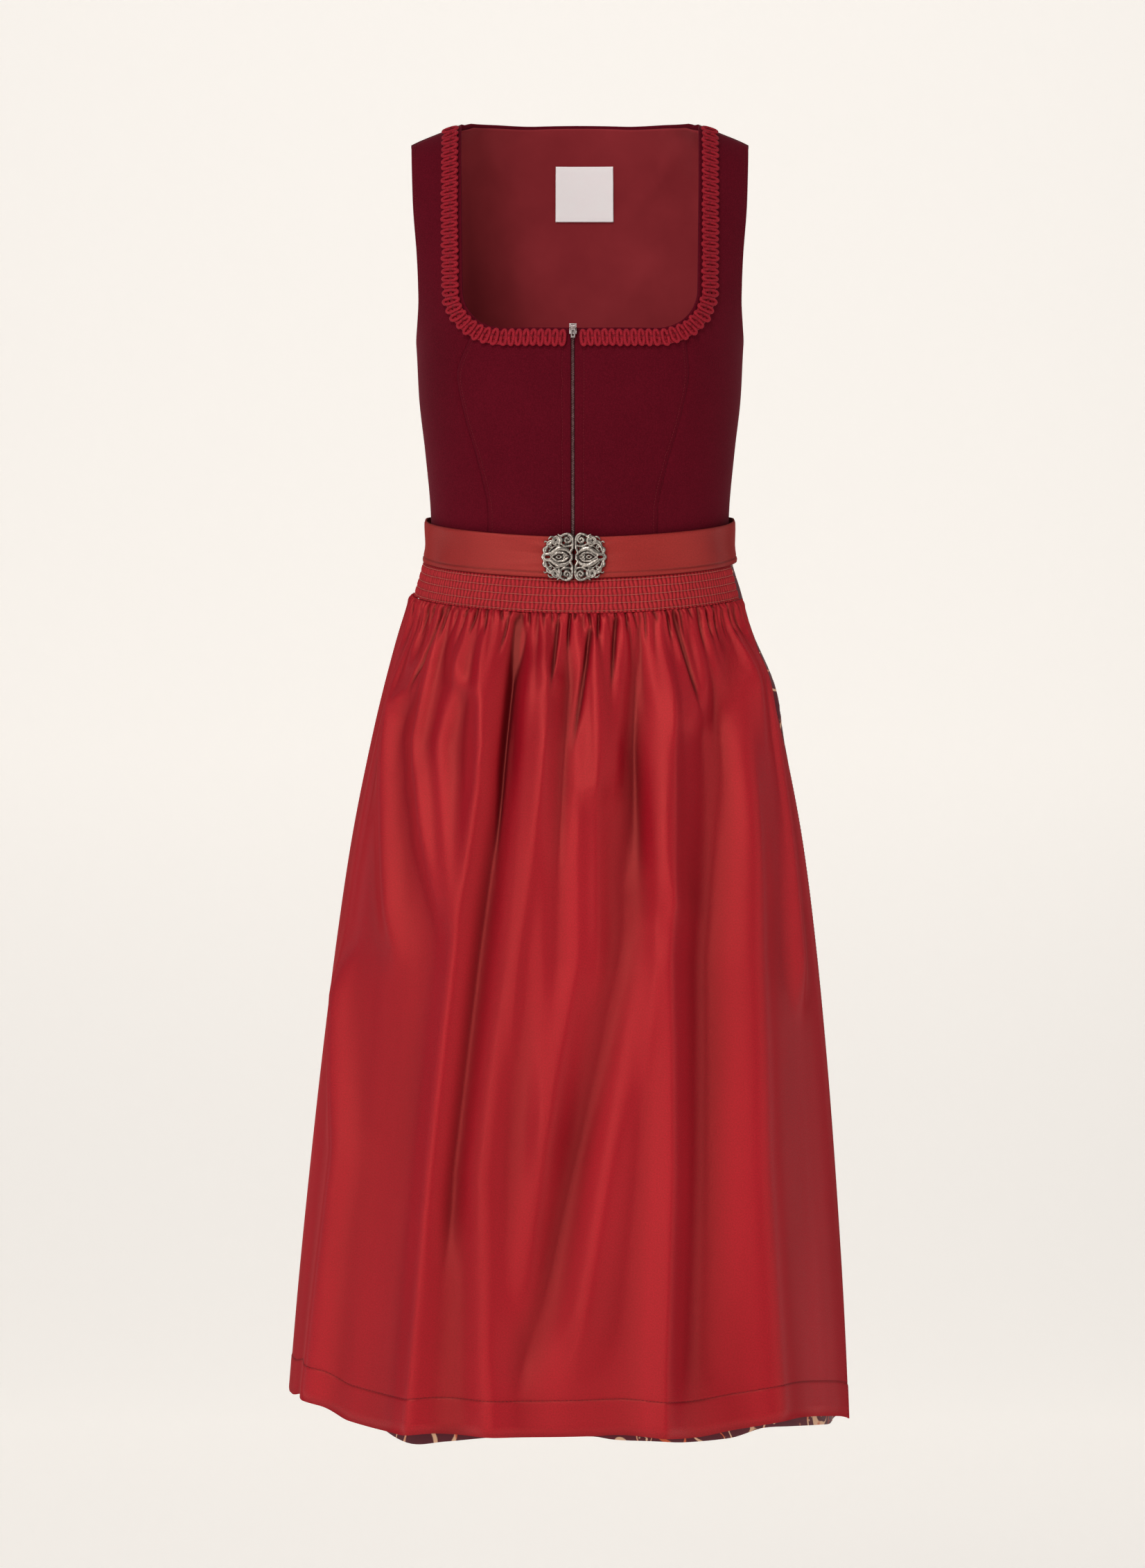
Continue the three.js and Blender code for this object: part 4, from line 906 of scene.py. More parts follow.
def stacked_grids(low, high, columns, low_rows, high_rows):
    """One grid over two patches, the second on top of the first."""
    grids = zip(grid_over(low, columns, low_rows), grid_over(high, columns, high_rows))
    return [np.concatenate([lower, upper[1:]]) for lower, upper in grids]


def mirrored_grid(side, points, normals):
    """The left side's grid with its columns turned round, so that its faces look outward."""
    if side > 0:
        return points, normals
    return points[:, ::-1], normals[:, ::-1]


def felt_panel(name, side, points, normals, flat):
    points, normals = mirrored_grid(side, points, normals)
    obj = wall(name, points, FELT, MATERIALS["felt"], normals)
    finish_piece(obj, "felt", f"bodice_{name}")
    declare(flat)


def press(points, normals, distance, depth, reach):
    """Presses the cloth in where a distance field is zero, less and less within its reach."""
    return points - normals * (depth * np.exp(-(distance / reach) ** 2))[..., None]


def stitch_column(points, normals, distance, offset, first_row=0):
    """Topstitching up a panel, an even distance from one of its edges."""
    column = np.argmin(np.abs(distance[first_row:] - offset), axis=1)
    rows = np.arange(first_row, len(points))
    stitched_line(stitches, points[rows, column], normals[rows, column])


def build_front_centre(side, word):
    seam = front_seam(side)
    zip_edge_x = ZIP_X + side * ZIP_GROOVE_HALF
    low_edge = waist_seam(bearing_of(zip_edge_x, WAIST_FRONT_Z))
    start_way = ZIP_GROOVE_HALF / neck_length(side)
    top_way = seam_on_neck(side)

    def left(v):
        z = lerp(low_edge, NECK_BOTTOM_Z, v)
        return bearing_of(zip_edge_x, z), z

    place = patch(left, seam, waist_between(left(0.0)[0], seam(0.0)[0]),
                  lambda u: neck_place(side, lerp(start_way, top_way, u)))
    points, normals = grid_over(place, *GRIDS["front_centre"])
    from_seam = edge_distance(points, 1, True)
    from_zip = edge_distance(points, 1, False)
    for last, roll, reach in ((True, 1.0, 2.4), (False, 0.5, 1.2)):
        points = press(points, normals, edge_distance(points, 1, last), roll, reach)
    points = press(points, normals, from_seam - SEAM_STITCH, 0.35, 0.9)
    points = press(points, normals, from_zip - ZIP_STITCH, 0.75, 0.8)
    points = points - normals * SEAM_GAP * 0.1
    stitch_column(points, normals, from_seam, SEAM_STITCH)
    stitch_column(points, normals, from_zip, ZIP_STITCH)
    felt_panel(f"front_centre_{word}", side, points, normals, (110, 215))


def build_front_side(side, word):
    seam = front_seam(side)
    edge = side_seam(side)
    level = line_between(seam(1.0), edge(1.0))
    low = patch(seam, edge, waist_between(seam(0.0)[0], edge(0.0)[0]), level)
    neck_start = seam_on_neck(side)
    high = patch(lambda v: neck_place(side, lerp(neck_start, 1, v)), armhole(side, "front"), level,
                 shoulder_seam(side))
    points, normals = stacked_grids(low, high, SIDE_COLUMNS, SIDE_ROWS, SIDE_ROWS)
    normals[-1] = unit_vectors(np.array([0.0, 0.05, 1.0]))
    from_edge = edge_distance(points, 1, True)
    lower = np.zeros(points.shape[:2])
    lower[:SIDE_ROWS + 1] = 1
    upper = 1 - lower
    points = press(points, normals, edge_distance(points, 1, False), lower * 1.0, 2.4)
    points = press(points, normals, from_edge, lower * 0.8, 2.2)
    points = press(points, normals, from_edge, upper * 0.6, 1.0)
    points = press(points, normals, from_edge - EDGE_STITCH, upper * 0.4, 0.8)
    stitch_column(points, normals, from_edge, EDGE_STITCH, SIDE_ROWS + 2)
    points = round_shoulder_tip(points)
    felt_panel(f"front_side_{word}", side, points, normals, (150, 430))


def build_back_side(side, word):
    edge = side_seam(side, True)
    seam = back_seam(side)
    arm = armhole(side, "back")
    place = patch(edge, seam, waist_between(edge(0.0)[0], seam(0.0)[0]),
                  lambda u: arm(u * BACK_SEAM_ON_ARMHOLE))
    points, normals = grid_over(place, *GRIDS["back_side"])
    from_top = edge_distance(points, 0, True)
    for last in (False, True):
        points = press(points, normals, edge_distance(points, 1, last), 0.9, 2.2)
    points = press(points, normals, from_top - EDGE_STITCH, 0.4, 0.8)
    felt_panel(f"back_side_{word}", side, points, normals, (170, 270))


def build_back_centre():
    right, left = back_seam(1), back_seam(-1)
    level = line_between(right(1.0), left(1.0))
    low = patch(right, left, waist_between(right(0.0)[0], left(0.0)[0]), level)
    high = patch(lambda v: armhole(1, "back")(lerp(BACK_SEAM_ON_ARMHOLE, 1, v)),
                 lambda v: armhole(-1, "back")(lerp(BACK_SEAM_ON_ARMHOLE, 1, v)),
                 level, back_top_edge)
    points, normals = stacked_grids(low, high, BACK_COLUMNS, BACK_LOW_ROWS, BACK_HIGH_ROWS)
    shoulder = np.abs(points[-1, :, 0]) > SHOULDER_NECK[0] - 1
    normals[-1, shoulder] = unit_vectors(np.array([0.0, -0.05, 1.0]))
    lower = np.zeros(points.shape[:2])
    lower[:BACK_LOW_ROWS + 1] = 1
    for last in (False, True):
        distance = edge_distance(points, 1, last)
        points = press(points, normals, distance, lower * 0.9, 2.2)
        points = press(points, normals, distance - EDGE_STITCH, (1 - lower) * 0.4, 0.8)
    points = round_shoulder_tip(points)
    felt_panel("back_centre", 1, points, normals, (330, 400))


LINING = {"half_width": 122, "bottom": -335, "below_neck": 1.5, "corner_drop": 3, "stands": -(FELT + 1.2)}
LINING_CREASES = records(
    "x0 z0 x1 z1 height width",
    (98, 2, 40, -70, 2.4, 9), (102, -30, 62, -120, 1.8, 10), (-96, 4, -36, -66, 2.4, 9),
    (-102, -40, -66, -130, 2.0, 9), (-76, -90, -14, -165, 1.8, 11), (70, -100, 16, -172, 1.8, 11),
    (-40, -60, 6, -120, 1.3, 12), (20, 10, 60, -50, 1.5, 9),
)


def crease_height(creases, x, z):
    total = np.zeros(np.shape(x))
    for crease in creases:
        start = np.array([crease["x0"], crease["z0"]], float)
        run = np.array([crease["x1"], crease["z1"]], float) - start
        way = ((x - start[0]) * run[0] + (z - start[1]) * run[1]) / (run @ run)
        along = np.clip(way, 0, 1)
        away = np.hypot(x - start[0] - along * run[0], z - start[1] - along * run[1])
        fade = np.sin(np.pi * np.clip(way, 0, 1)) ** 0.7
        total = total + crease["height"] * fade * np.exp(-(away / crease["width"]) ** 2)
    return total


def build_lining():
    def place(u, v):
        x = lerp(LINING["half_width"], -LINING["half_width"], u)
        corner = smoothstep(SHOULDER_NECK[0] + 2, SHOULDER_NECK[0] + 14, np.abs(x))
        top = back_neck_z(x) - LINING["below_neck"] - LINING["corner_drop"] * corner
        z = lerp(top, LINING["bottom"], (1 - v) ** 1.2)
        return bearing_of(x, z, True), z

    def stands(bearing, z, u, v):
        x = form(bearing, z)[..., 0]
        return LINING["stands"] - crease_height(LINING_CREASES, x, z)

    points, normals = grid_over(place, *GRIDS["lining"], stands)
    obj = wall("lining", points, LINING_CLOTH, MATERIALS["lining"], normals)
    finish_piece(obj, "lining", "back_lining")
    declare((270, 370))


LABEL = {"x": 4.5, "width": 54, "top": -14, "bottom": -64.5, "thickness": 0.6}


def build_label():
    stands = LINING["stands"] - LINING_CLOTH - 4 * SEAM_GAP

    def place(u, v):
        z = lerp(LABEL["bottom"], LABEL["top"], v)
        return bearing_of(LABEL["x"] + (0.5 - u) * LABEL["width"], z, True), z

    def lift(bearing, z, u, v):
        edge = np.minimum(np.minimum(u, 1 - u) * LABEL["width"], np.minimum(v, 1 - v) * 50)
        flat = stands - 0.25 * smoothstep(0, 1.6, edge)
        return flat + 0.2 * np.exp(-((edge - 2.2) / 0.5) ** 2) - 0.4 * np.sin(3 * u + 1) * v * (1 - v)

    points, normals = grid_over(place, *GRIDS["label"], lift)
    obj = wall("woven_label", points, LABEL["thickness"], MATERIALS["label"], normals)
    finish_piece(obj, "label", "label")
    declare((54, 51))


# The braid: long cord loops side by side, on three flat cords that tie them together.
BRAID_CORD_RADIUS = 1.5
BRAID_END = 3.4
BRAID_CORES = (-4, 0, 4)
BRAID_SPAN = (0.001, 0.9985)
BRAID_LOOP_POINTS = 26


def build_braid(side, word):
    length = neck_length(side)
    loops = int(round((length - BRAID_FROM_ZIP) / BRAID_PITCH))
    pitch = (length - BRAID_END - BRAID_FROM_ZIP) / loops
    pieces = Pieces()
    turn = np.linspace(0, 2 * math.pi, BRAID_LOOP_POINTS, endpoint=False)
    half_across = BRAID_WIDTH / 2 - BRAID_CORD_RADIUS + 0.3
    middle = BRAID_INSET + BRAID_WIDTH / 2
    for index in range(loops):
        centre = BRAID_FROM_ZIP + (index + 0.5) * pitch
        wobble = rng.uniform(-0.35, 0.35, 3)
        across = half_across * np.sign(np.sin(turn)) * np.abs(np.sin(turn)) ** 0.75
        along = (pitch / 2 - BRAID_CORD_RADIUS * 0.78) * np.cos(turn)
        slant = 0.5 * across / half_across
        way = np.clip((centre + along + slant + wobble[0] * 0.5) / length, *BRAID_SPAN)
        bearing, z = neck_place(side, way, middle + across + wobble[1])
        tip = 0.25 * np.sin(turn + (index % 2) * math.pi)
        lift = BRAID_BASE + BRAID_CORD_RADIUS * (1 + tip)
        normals = form_normal(bearing, z)
        points = form(bearing, z) + normals * lift[:, None]
        pieces.add(*tube(points, BRAID_CORD_RADIUS, 8, True, up=normals))
    ways = np.linspace((BRAID_FROM_ZIP + 1) / length, 1 - 5 / length, 120)
    for core in BRAID_CORES:
        bearing, z = neck_place(side, ways, middle + core)
        normals = form_normal(bearing, z)
        points = form(bearing, z) + normals * (BRAID_BASE + 0.35)
        pieces.add(*tube(points, 2.2, 6, flatten=0.25, up=normals))
    obj = pieces.build(f"braid_{word}", MATERIALS["braid"])
    finish_piece(obj, "braid", f"neck_braid_{word}")


# The zip.
TOOTH_PITCH = 1.55
TOOTH_HALF = (0.55, 0.48, 0.5)
TAPE_COLUMNS = (0.15, 1.0, 1.2, 4, 11)


def build_zip(side, word):
    low = float(waist_seam(0.0)) + 4
    x = ZIP_X + side * np.array(TAPE_COLUMNS)
    grid_x, grid_z = np.meshgrid(x, np.linspace(low, NECK_BOTTOM_Z - 1, 60))
    bearing = bearing_of(grid_x, grid_z)
    normals = form_normal(bearing, grid_z)
    points = form(bearing, grid_z) - normals * (FELT + 2 * SEAM_GAP)
    points, normals = mirrored_grid(side, points, normals)
    tape = wall(f"tape_{word}", points, TAPE_CLOTH, MATERIALS["tape"], normals)
    finish_piece(tape, "tape", f"zip_tape_{word}")
    teeth = Pieces()
    shift = TOOTH_PITCH / 2 if side > 0 else 0
    for z0 in np.arange(low + 2 + shift, NECK_BOTTOM_Z - 3, TOOTH_PITCH):
        bearing = bearing_of(ZIP_X + side * 0.55, z0)
        normal = form_normal(bearing, z0)
        centre = form(bearing, z0) - normal * 1.5
        right = unit_vectors(np.cross(np.array([0.0, 0.0, 1.0]), normal))
        up = np.cross(normal, right)
        teeth.add(*box_shape(centre, TOOTH_HALF, (right, up, normal)))
    obj = teeth.build(f"teeth_{word}", MATERIALS["teeth"], False)
    bevel = obj.modifiers.new("bevel", "BEVEL")
    bevel.width = 0.16 * MM
    bevel.segments = 2
    finish_piece(obj, "tape")


def build_slider():
    material = MATERIALS["zip_metal"]
    for name in ("zip_slider", "zip_pull"):
        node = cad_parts[name]
        node.data.materials.clear()
        node.data.materials.append(material)


# The belt: a folded satin band with a stitched line, and puckers that run out from the clasp.
BELT_CENTRE_BEARING = -3.2
BELT_END_BEARING = 0.3
BELT_LINE = 4.3
PUCKER_FROM = 22
PUCKER_WITHIN = 80
BELT_PUCKERS = records(
    "side z reach rise height",
    (-1, 9, 46, 8, 0.9), (-1, 3, 38, 2, -0.8), (-1, -5, 52, -5, 0.8), (1, 10, 52, 6, 0.9),
    (1, 2, 44, 5, -1.0), (1, -4, 60, -2, 0.9),
)


def build_belt():
    middle = float(bearing_of(ZIP_X + 1, WAIST_FRONT_Z))
    start = middle + BELT_END_BEARING
    end = 360 + middle - BELT_END_BEARING

    def place(u, v):
        bearing = lerp(start, end, u)
        return bearing, lerp(belt_top(bearing) - BELT_WIDTH, belt_top(bearing), v)

    def stands(bearing, z, u, v):
        signed = np.where(bearing > 180, bearing - 360, bearing)
        x = form(bearing, z)[..., 0] - ZIP_X
        from_edge = np.minimum(v, 1 - v) * BELT_WIDTH
        line = np.exp(-((v * BELT_WIDTH - BELT_LINE) / 0.75) ** 2)
        rise = BELT_STANDS - 0.7 * np.exp(-(from_edge / 1.2) ** 2) - 0.6 * line
        # Painted shade for the cloth's colour: dark along the stitched groove and at both folded edges.
        shades.append(0.75 * line + 0.5 * np.exp(-(from_edge / 0.8) ** 2))
        height = (v - 0.5) * BELT_WIDTH
        front = np.abs(signed) < PUCKER_WITHIN
        for pucker in BELT_PUCKERS:
            run = x * pucker["side"] - PUCKER_FROM
            way = run / pucker["reach"]
            centre = pucker["z"] + pucker["rise"] * np.clip(way, 0, 1)
            fade = np.exp(-np.clip(way, 0, None) * 1.8) * smoothstep(-14, 2, run)
            rise = rise + front * pucker["height"] * fade * np.exp(-((height - centre) / 2.6) ** 2)
        slow = 0.35 * np.sin(np.radians(bearing) * 9 + height * 0.12)
        return rise + slow * (1 - np.exp(-(from_edge / 5) ** 2)) - 0.3

    shades = []
    points, normals = grid_over(place, *GRIDS["belt"], stands)
    obj = wall("belt", points, BELT_CLOTH, MATERIALS["belt"], normals, shades[0])
    finish_piece(obj, "belt", "apron_belt")
    declare((790, 38))
# The clasp: two mirrored halves of cast openwork. Strokes with rounded backs make up the
# relief, and there is metal only where a stroke lies.
CLASP = {"half_width": 28.6, "half_height": 21.7, "apart": 0.45, "lobe": 0.06, "lobes": 9,
         "scale": 0.96}
CLASP_CELL = 0.3
CLASP_BASE = 0.7
CLASP_PLATE = {"level": 1.05, "bright": 0.18}
CLASP_HOLES = {"row": 2.55, "step": 2.75, "radius": 0.95}
CLASP_GROOVE = {"pitch": 0.75, "depth": 0.16, "from_radius": 1.15}


def bow(*points, count=22):
    """A smooth line through a few points."""
    points = np.array(points, float)
    run = np.concatenate([[0], np.cumsum(np.linalg.norm(np.diff(points, axis=0), axis=1))])
    fine = np.linspace(0, run[-1], count)
    columns = [curve_of({"run": run, "value": points[:, i]}, "run", "value")(fine) for i in (0, 1)]
    return np.stack(columns, -1)


def spiral(x, z, radius, start, turns, hand=1, count=26):
    way = np.linspace(0, 1, count)
    angle = start + hand * way * turns * 2 * math.pi
    r = radius * (1 - 0.75 * way)
    return np.stack([x + r * np.cos(angle), z + r * np.sin(angle)], -1)


def oval(x, z, across, up, tilt=0.0, count=25):
    angle = np.linspace(0, 2 * math.pi, count)
    c, s = math.cos(tilt), math.sin(tilt)
    a, b = across * np.cos(angle), up * np.sin(angle)
    return np.stack([x + c * a - s * b, z + s * a + c * b], -1)


def clasp_rim():
    turn = np.linspace(-math.pi / 2, math.pi / 2, 120)
    wave = 1 - CLASP["lobe"] * (0.5 - 0.5 * np.cos(CLASP["lobes"] * turn * 2))
    reach = CLASP["half_width"] - CLASP["apart"] - 1.2
    x = CLASP["apart"] + 1.1 + reach * np.abs(np.cos(turn)) ** 0.75 * wave
    return np.stack([x, (CLASP["half_height"] - 1.2) * np.sin(turn) * wave], -1)


def clasp_strokes():
    """Strokes of the upper half of one side: line, radius at its middle and ends, height."""
    lobe = bow((1.5, 8), (1.2, 13), (1.9, 18), (5.8, 20.9), (10.4, 19.8), (12.8, 16), (11.8, 12), (8, 9.8))
    return [
        (lobe, 1.25, 0.9, 1.6),
        (bow((11.8, 12), (8, 9.6), (3.6, 10), (1.5, 12)), 1.0, 0.8, 1.5),
        (spiral(6.3, 15.6, 3.5, 1.8, 1.25), 1.15, 0.6, 1.9),
        (bow((1.5, 8), (2.8, 5.6), (3.6, 3.6), (1.9, 1.4), (2.2, 0)), 1.4, 1.1, 1.5),
        (bow((3.6, 3.4), (7.5, 6.6), (13, 7.6), (18.5, 4.8), (22.2, 2.8), (25.5, 3.0)), 2.3, 0.8, 1.5),
        (bow((5.2, 0.8), (9.5, 3.6), (14, 3.8), (18.2, 1.6), (20.4, 0)), 1.2, 0.6, 2.0),
        (bow((20.4, 0), (22.4, 2.3), (25.2, 2.2), (27.2, 0)), 0.85, 0.7, 2.0),
        (spiral(8.2, 1.4, 1.9, 3.6, 1.1, -1), 0.8, 0.5, 1.9),
        (oval(16.6, 15.0, 2.9, 3.8, 0.5), 0.8, 0.8, 2.5),
        (oval(16.6, 15.0, 1.5, 2.2, 0.5), 0.9, 0.9, 2.0),
        (bow((13.4, 18.0), (12.4, 15.0), (13.4, 11.8)), 2.2, 1.4, 1.7),
        (bow((19.0, 18.6), (21.4, 18.0), (23.2, 16.0)), 0.95, 0.45, 1.4),
        (bow((13.0, 9.8), (16.4, 10.0), (19.6, 8.2), (22.4, 5.2)), 0.7, 0.5, 1.6),
        (bow((19.8, 13.0), (22.8, 10.8), (25.0, 7.6), (25.8, 4.6)), 1.5, 0.8, 1.5),
        (spiral(21.6, 9.4, 1.8, 0.6, 1.1), 0.55, 0.4, 1.6),
        (bow((10.4, 19.4), (12.6, 19.2), (14.8, 20.4)), 0.9, 0.5, 1.5),
        (bow((24.4, 13.6), (26.0, 14.2), (27.0, 13.2)), 0.75, 0.45, 1.3),
        (bow((11.0, 0), (13.6, 1.4), (16.4, 0)), 0.75, 0.5, 1.7),
    ]


def clasp_plate(x, z, rim):
    """How far inside a low pierced plate each point lies: round holes in rows, one long eye."""
    up = np.abs(z)
    reach = np.interp(up, rim[rim[:, 1] >= 0, 1], rim[rim[:, 1] >= 0, 0])
    from_rim = np.minimum(reach - x, rim[:, 1].max() - up)
    row = np.round(up / CLASP_HOLES["row"])
    shift = 0.5 * (row % 2) + 0.16 * np.sin(row * 1.9)
    column = np.round(x / CLASP_HOLES["step"] - shift)
    from_hole = np.hypot(x - (column + shift) * CLASP_HOLES["step"], up - row * CLASP_HOLES["row"])
    plate = from_hole - CLASP_HOLES["radius"] * (1 + 0.15 * np.sin(3 * column + row))
    plate = np.where(np.hypot(x - 16.6, up - 15) < 3.4, 9, plate)
    eye = np.hypot((x - 23.8) / 1.7, up) - 1.2
    slit = np.hypot((x - 0.4) / 1.3, (up - 4.2) / 2.6) - 1
    return np.minimum.reduce([plate, eye, slit, from_rim])


def stroke_radii(count, middle, ends):
    way = np.linspace(0, 1, count)
    return ends + (middle - ends) * np.sin(math.pi * way) ** 0.7


def clasp_relief():
    """Grid points of one half, how far inside the metal each lies, and its height and shade."""
    across = np.arange(CLASP["apart"], CLASP["half_width"] + 1, CLASP_CELL)
    up = np.arange(-CLASP["half_height"] - 0.5, CLASP["half_height"] + 0.6, CLASP_CELL)
    x, z = np.meshgrid(across, up)
    inside = np.full(x.shape, -9.0)
    height, bright = np.zeros(x.shape), np.zeros(x.shape)
    rim = clasp_rim()
    outer = rim[rim[:, 0] > 9]
    strokes = [(outer, np.full(len(outer), 1.3), 1.5)]
    for line, middle, ends, level in clasp_strokes():
        radii = stroke_radii(len(line), middle, ends)
        strokes += [(line, radii, level), (line * np.array([1, -1]), radii, level)]
    for line, radii, level in strokes:
        for a, b, radius in zip(line[:-1], line[1:], (radii[:-1] + radii[1:]) / 2):
            run = b - a
            length = max(run @ run, 1e-9)
            way = np.clip(((x - a[0]) * run[0] + (z - a[1]) * run[1]) / length, 0, 1)
            away = np.hypot(x - a[0] - way * run[0], z - a[1] - way * run[1])
            back = np.sqrt(np.clip(1 - (away / radius) ** 2, 0, 1))
            rise = level + radius * 0.7 * back
            if radius > CLASP_GROOVE["from_radius"]:
                groove_wave = np.cos(away * 2 * math.pi / CLASP_GROOVE["pitch"])
                rise = rise - CLASP_GROOVE["depth"] * (1 - groove_wave)
                back = back * (0.75 + 0.25 * groove_wave)
            here = (away < radius) & (rise > height)
            height = np.where(here, rise, height)
            bright = np.where(here, back, bright)
            inside = np.maximum(inside, radius - away)
    plate = clasp_plate(x, z, rim)
    bare = (height == 0) & (plate > 0)
    height = np.where(bare, CLASP_PLATE["level"], height)
    bright = np.where(bare, CLASP_PLATE["bright"], bright)
    return x, z, np.maximum(inside, plate), height, bright


def build_clasp_mesh():
    x, z, inside, height, bright = clasp_relief()
    rows, columns = x.shape
    slope_z, slope_x = np.gradient(inside, CLASP_CELL)
    steep = np.maximum(np.hypot(slope_x, slope_z), 0.3)
    outside = (inside < 0) & (inside > -1.5 * CLASP_CELL)
    pull = np.where(outside, -inside, 0) / steep ** 2
    x, z = np.maximum(x + slope_x * pull, CLASP["apart"]), z + slope_z * pull
    level = np.where(height > 0, height, CLASP_BASE + 0.4)
    used = inside > 0
    cells = (used[:-1, :-1].astype(int) + used[:-1, 1:] + used[1:, :-1] + used[1:, 1:]) >= 2
    ids = np.arange(rows * columns).reshape(rows, columns)
    count = rows * columns
    faces = []
    for r, c in zip(*np.nonzero(cells)):
        a, b, d, e = ids[r, c], ids[r, c + 1], ids[r + 1, c + 1], ids[r + 1, c]
        faces += [(a, b, d, e), (e + count, d + count, b + count, a + count)]
        sides = ((r - 1, c, a, b), (r, c + 1, b, d), (r + 1, c, d, e), (r, c - 1, e, a))
        for next_r, next_c, p, q in sides:
            within = 0 <= next_r < rows - 1 and 0 <= next_c < columns - 1
            if not (within and cells[next_r, next_c]):
                faces.append((p, p + count, q + count, q))
    flat = np.stack([x.ravel(), z.ravel()], -1)
    keep = np.unique(np.array([i for face in faces for i in face]))
    number = np.full(2 * count, -1)
    number[keep] = np.arange(len(keep))
    places = np.concatenate([flat, flat])[keep]
    heights = np.concatenate([level.ravel(), np.full(count, CLASP_BASE)])[keep]
    shade = np.concatenate([1 - bright.ravel(), np.ones(count)])[keep]
    faces = [tuple(int(number[i]) for i in face) for face in faces]
    return places, heights, shade, faces


CLASP_MESH = build_clasp_mesh()


def build_clasp(side, word):
    places, heights, shade, faces = CLASP_MESH
    ends = []
    for z in (belt_top(BELT_CENTRE_BEARING), belt_top(BELT_CENTRE_BEARING) - BELT_WIDTH):
        normal = form_normal(BELT_CENTRE_BEARING, z)
        ends.append(form(BELT_CENTRE_BEARING, z) + normal * (BELT_STANDS + 0.6))
    up = unit_vectors(ends[0] - ends[1])
    centre = (ends[0] + ends[1]) / 2
    centre[0] = ZIP_X + 1
    right = np.array([1.0, 0.0, 0.0])
    out = np.cross(right, up)
    places = places * CLASP["scale"]
    points = centre + side * places[:, :1] * right + places[:, 1:] * up + heights[:, None] * out
    if side < 0:
        faces = [face[::-1] for face in faces]
    obj = add_object(f"clasp_half_{word}", points, faces, MATERIALS["silver"])
    obj.data.attributes.new("shade", "FLOAT", "POINT").data.foreach_set("value", shade.astype(np.float32))
    finish_piece(obj, "old_silver", f"clasp_{word}")


# The smocked band: ribs drawn in along rows of stitches.
STITCH_ROWS = 5
STITCH_FIRST = 2.5
STITCH_APART = 6.6


def build_smocking():
    edge_top = float(apron_right_edge(-400.0))
    stands_top, stands_bottom = 3.4, 4.3

    def place(u, v):
        bearing = lerp(APRON_LEFT_BEARING, edge_top, u)
        return bearing, lerp(smock_bottom(bearing), belt_top(bearing) - SMOCK_TOP_DROP, v)

    rib_shift = np.cumsum(rng.uniform(-0.12, 0.12, SMOCK_RIBS + 1))
    rib_tall = rng.uniform(0.8, 1.15, SMOCK_RIBS + 2)

    def stands(bearing, z, u, v):
        drop = belt_top(bearing) - z
        base = lerp(stands_top, stands_bottom, smoothstep(SMOCK_TOP_DROP, SMOCK_BOTTOM_DROP, drop))
        rib = u * SMOCK_RIBS + np.interp(u * SMOCK_RIBS, np.arange(SMOCK_RIBS + 1), rib_shift) * 0.3
        row = (drop - BELT_WIDTH - STITCH_FIRST) / STITCH_APART
        phase = (rib + 0.1 * np.sin(math.pi * row + rib * 0.9)) % 1
        profile = np.abs(np.sin(math.pi * phase)) ** 0.45
        tall = rib_tall[np.clip(np.floor(rib).astype(int), 0, SMOCK_RIBS)]
        from_stitch = (row - np.round(row)) * STITCH_APART
        pinch = 1 - 0.45 * np.exp(-(from_stitch / 0.8) ** 2) * (row > -0.4)
        show = smoothstep(BELT_WIDTH - 1, BELT_WIDTH + 3, drop)
        # Painted shade for the cloth's colour: dark in the valleys between ribs and along the stitch rows.
        shades.append(np.clip(1.8 * (1 - profile) ** 1.2 + 0.9 * (1 - pinch), 0, 1))
        return base - 0.3 + 1.7 * profile * tall * pinch * show

    shades = []
    points, normals = grid_over(place, *GRIDS["smocking"], stands)
    obj = wall("smocking", points, SMOCKED_CLOTH, MATERIALS["smock"], normals, shades[0])
    finish_piece(obj, "smock", "apron_smocking")
    declare((520, 40))
    threads = Pieces()
    for row in range(STITCH_ROWS):
        drop = BELT_WIDTH + STITCH_FIRST + row * STITCH_APART
        u = np.arange(2, SMOCK_RIBS * SMOCK_COLUMNS - 1) / (SMOCK_RIBS * SMOCK_COLUMNS)
        bearings = lerp(APRON_LEFT_BEARING, edge_top, u)
        z = belt_top(bearings) - drop
        ridge = 0.5 + 0.5 * np.cos(2 * math.pi * (u * SMOCK_RIBS - 0.5))
        lift = lerp(stands_top, stands_bottom, (drop - SMOCK_TOP_DROP) / 38) + 0.75 + 0.3 * ridge
        line = form(bearings, z) + form_normal(bearings, z) * lift[:, None]
        threads.add(*tube(line, 0.21, 4))
    obj = threads.build("smocking_threads", MATERIALS["smock_thread"])
    finish_piece(obj, "smock")


# The apron and the skirt.

# Gathers under the smocking, in two sets: short puffs, and ridges that run on down and fan out.
GATHER_SETS = [
    {"count": 58, "width": (2.1, 3.5), "height": (3.0, 5.6), "low": 9, "high": 30, "drift": 1.2},
    {"count": 34, "width": (3.0, 5.0), "height": (2.8, 5.0), "low": 60, "high": 330, "drift": 4.0},
]
GATHER_SHARP = 5.0
GATHER_FAN = 60


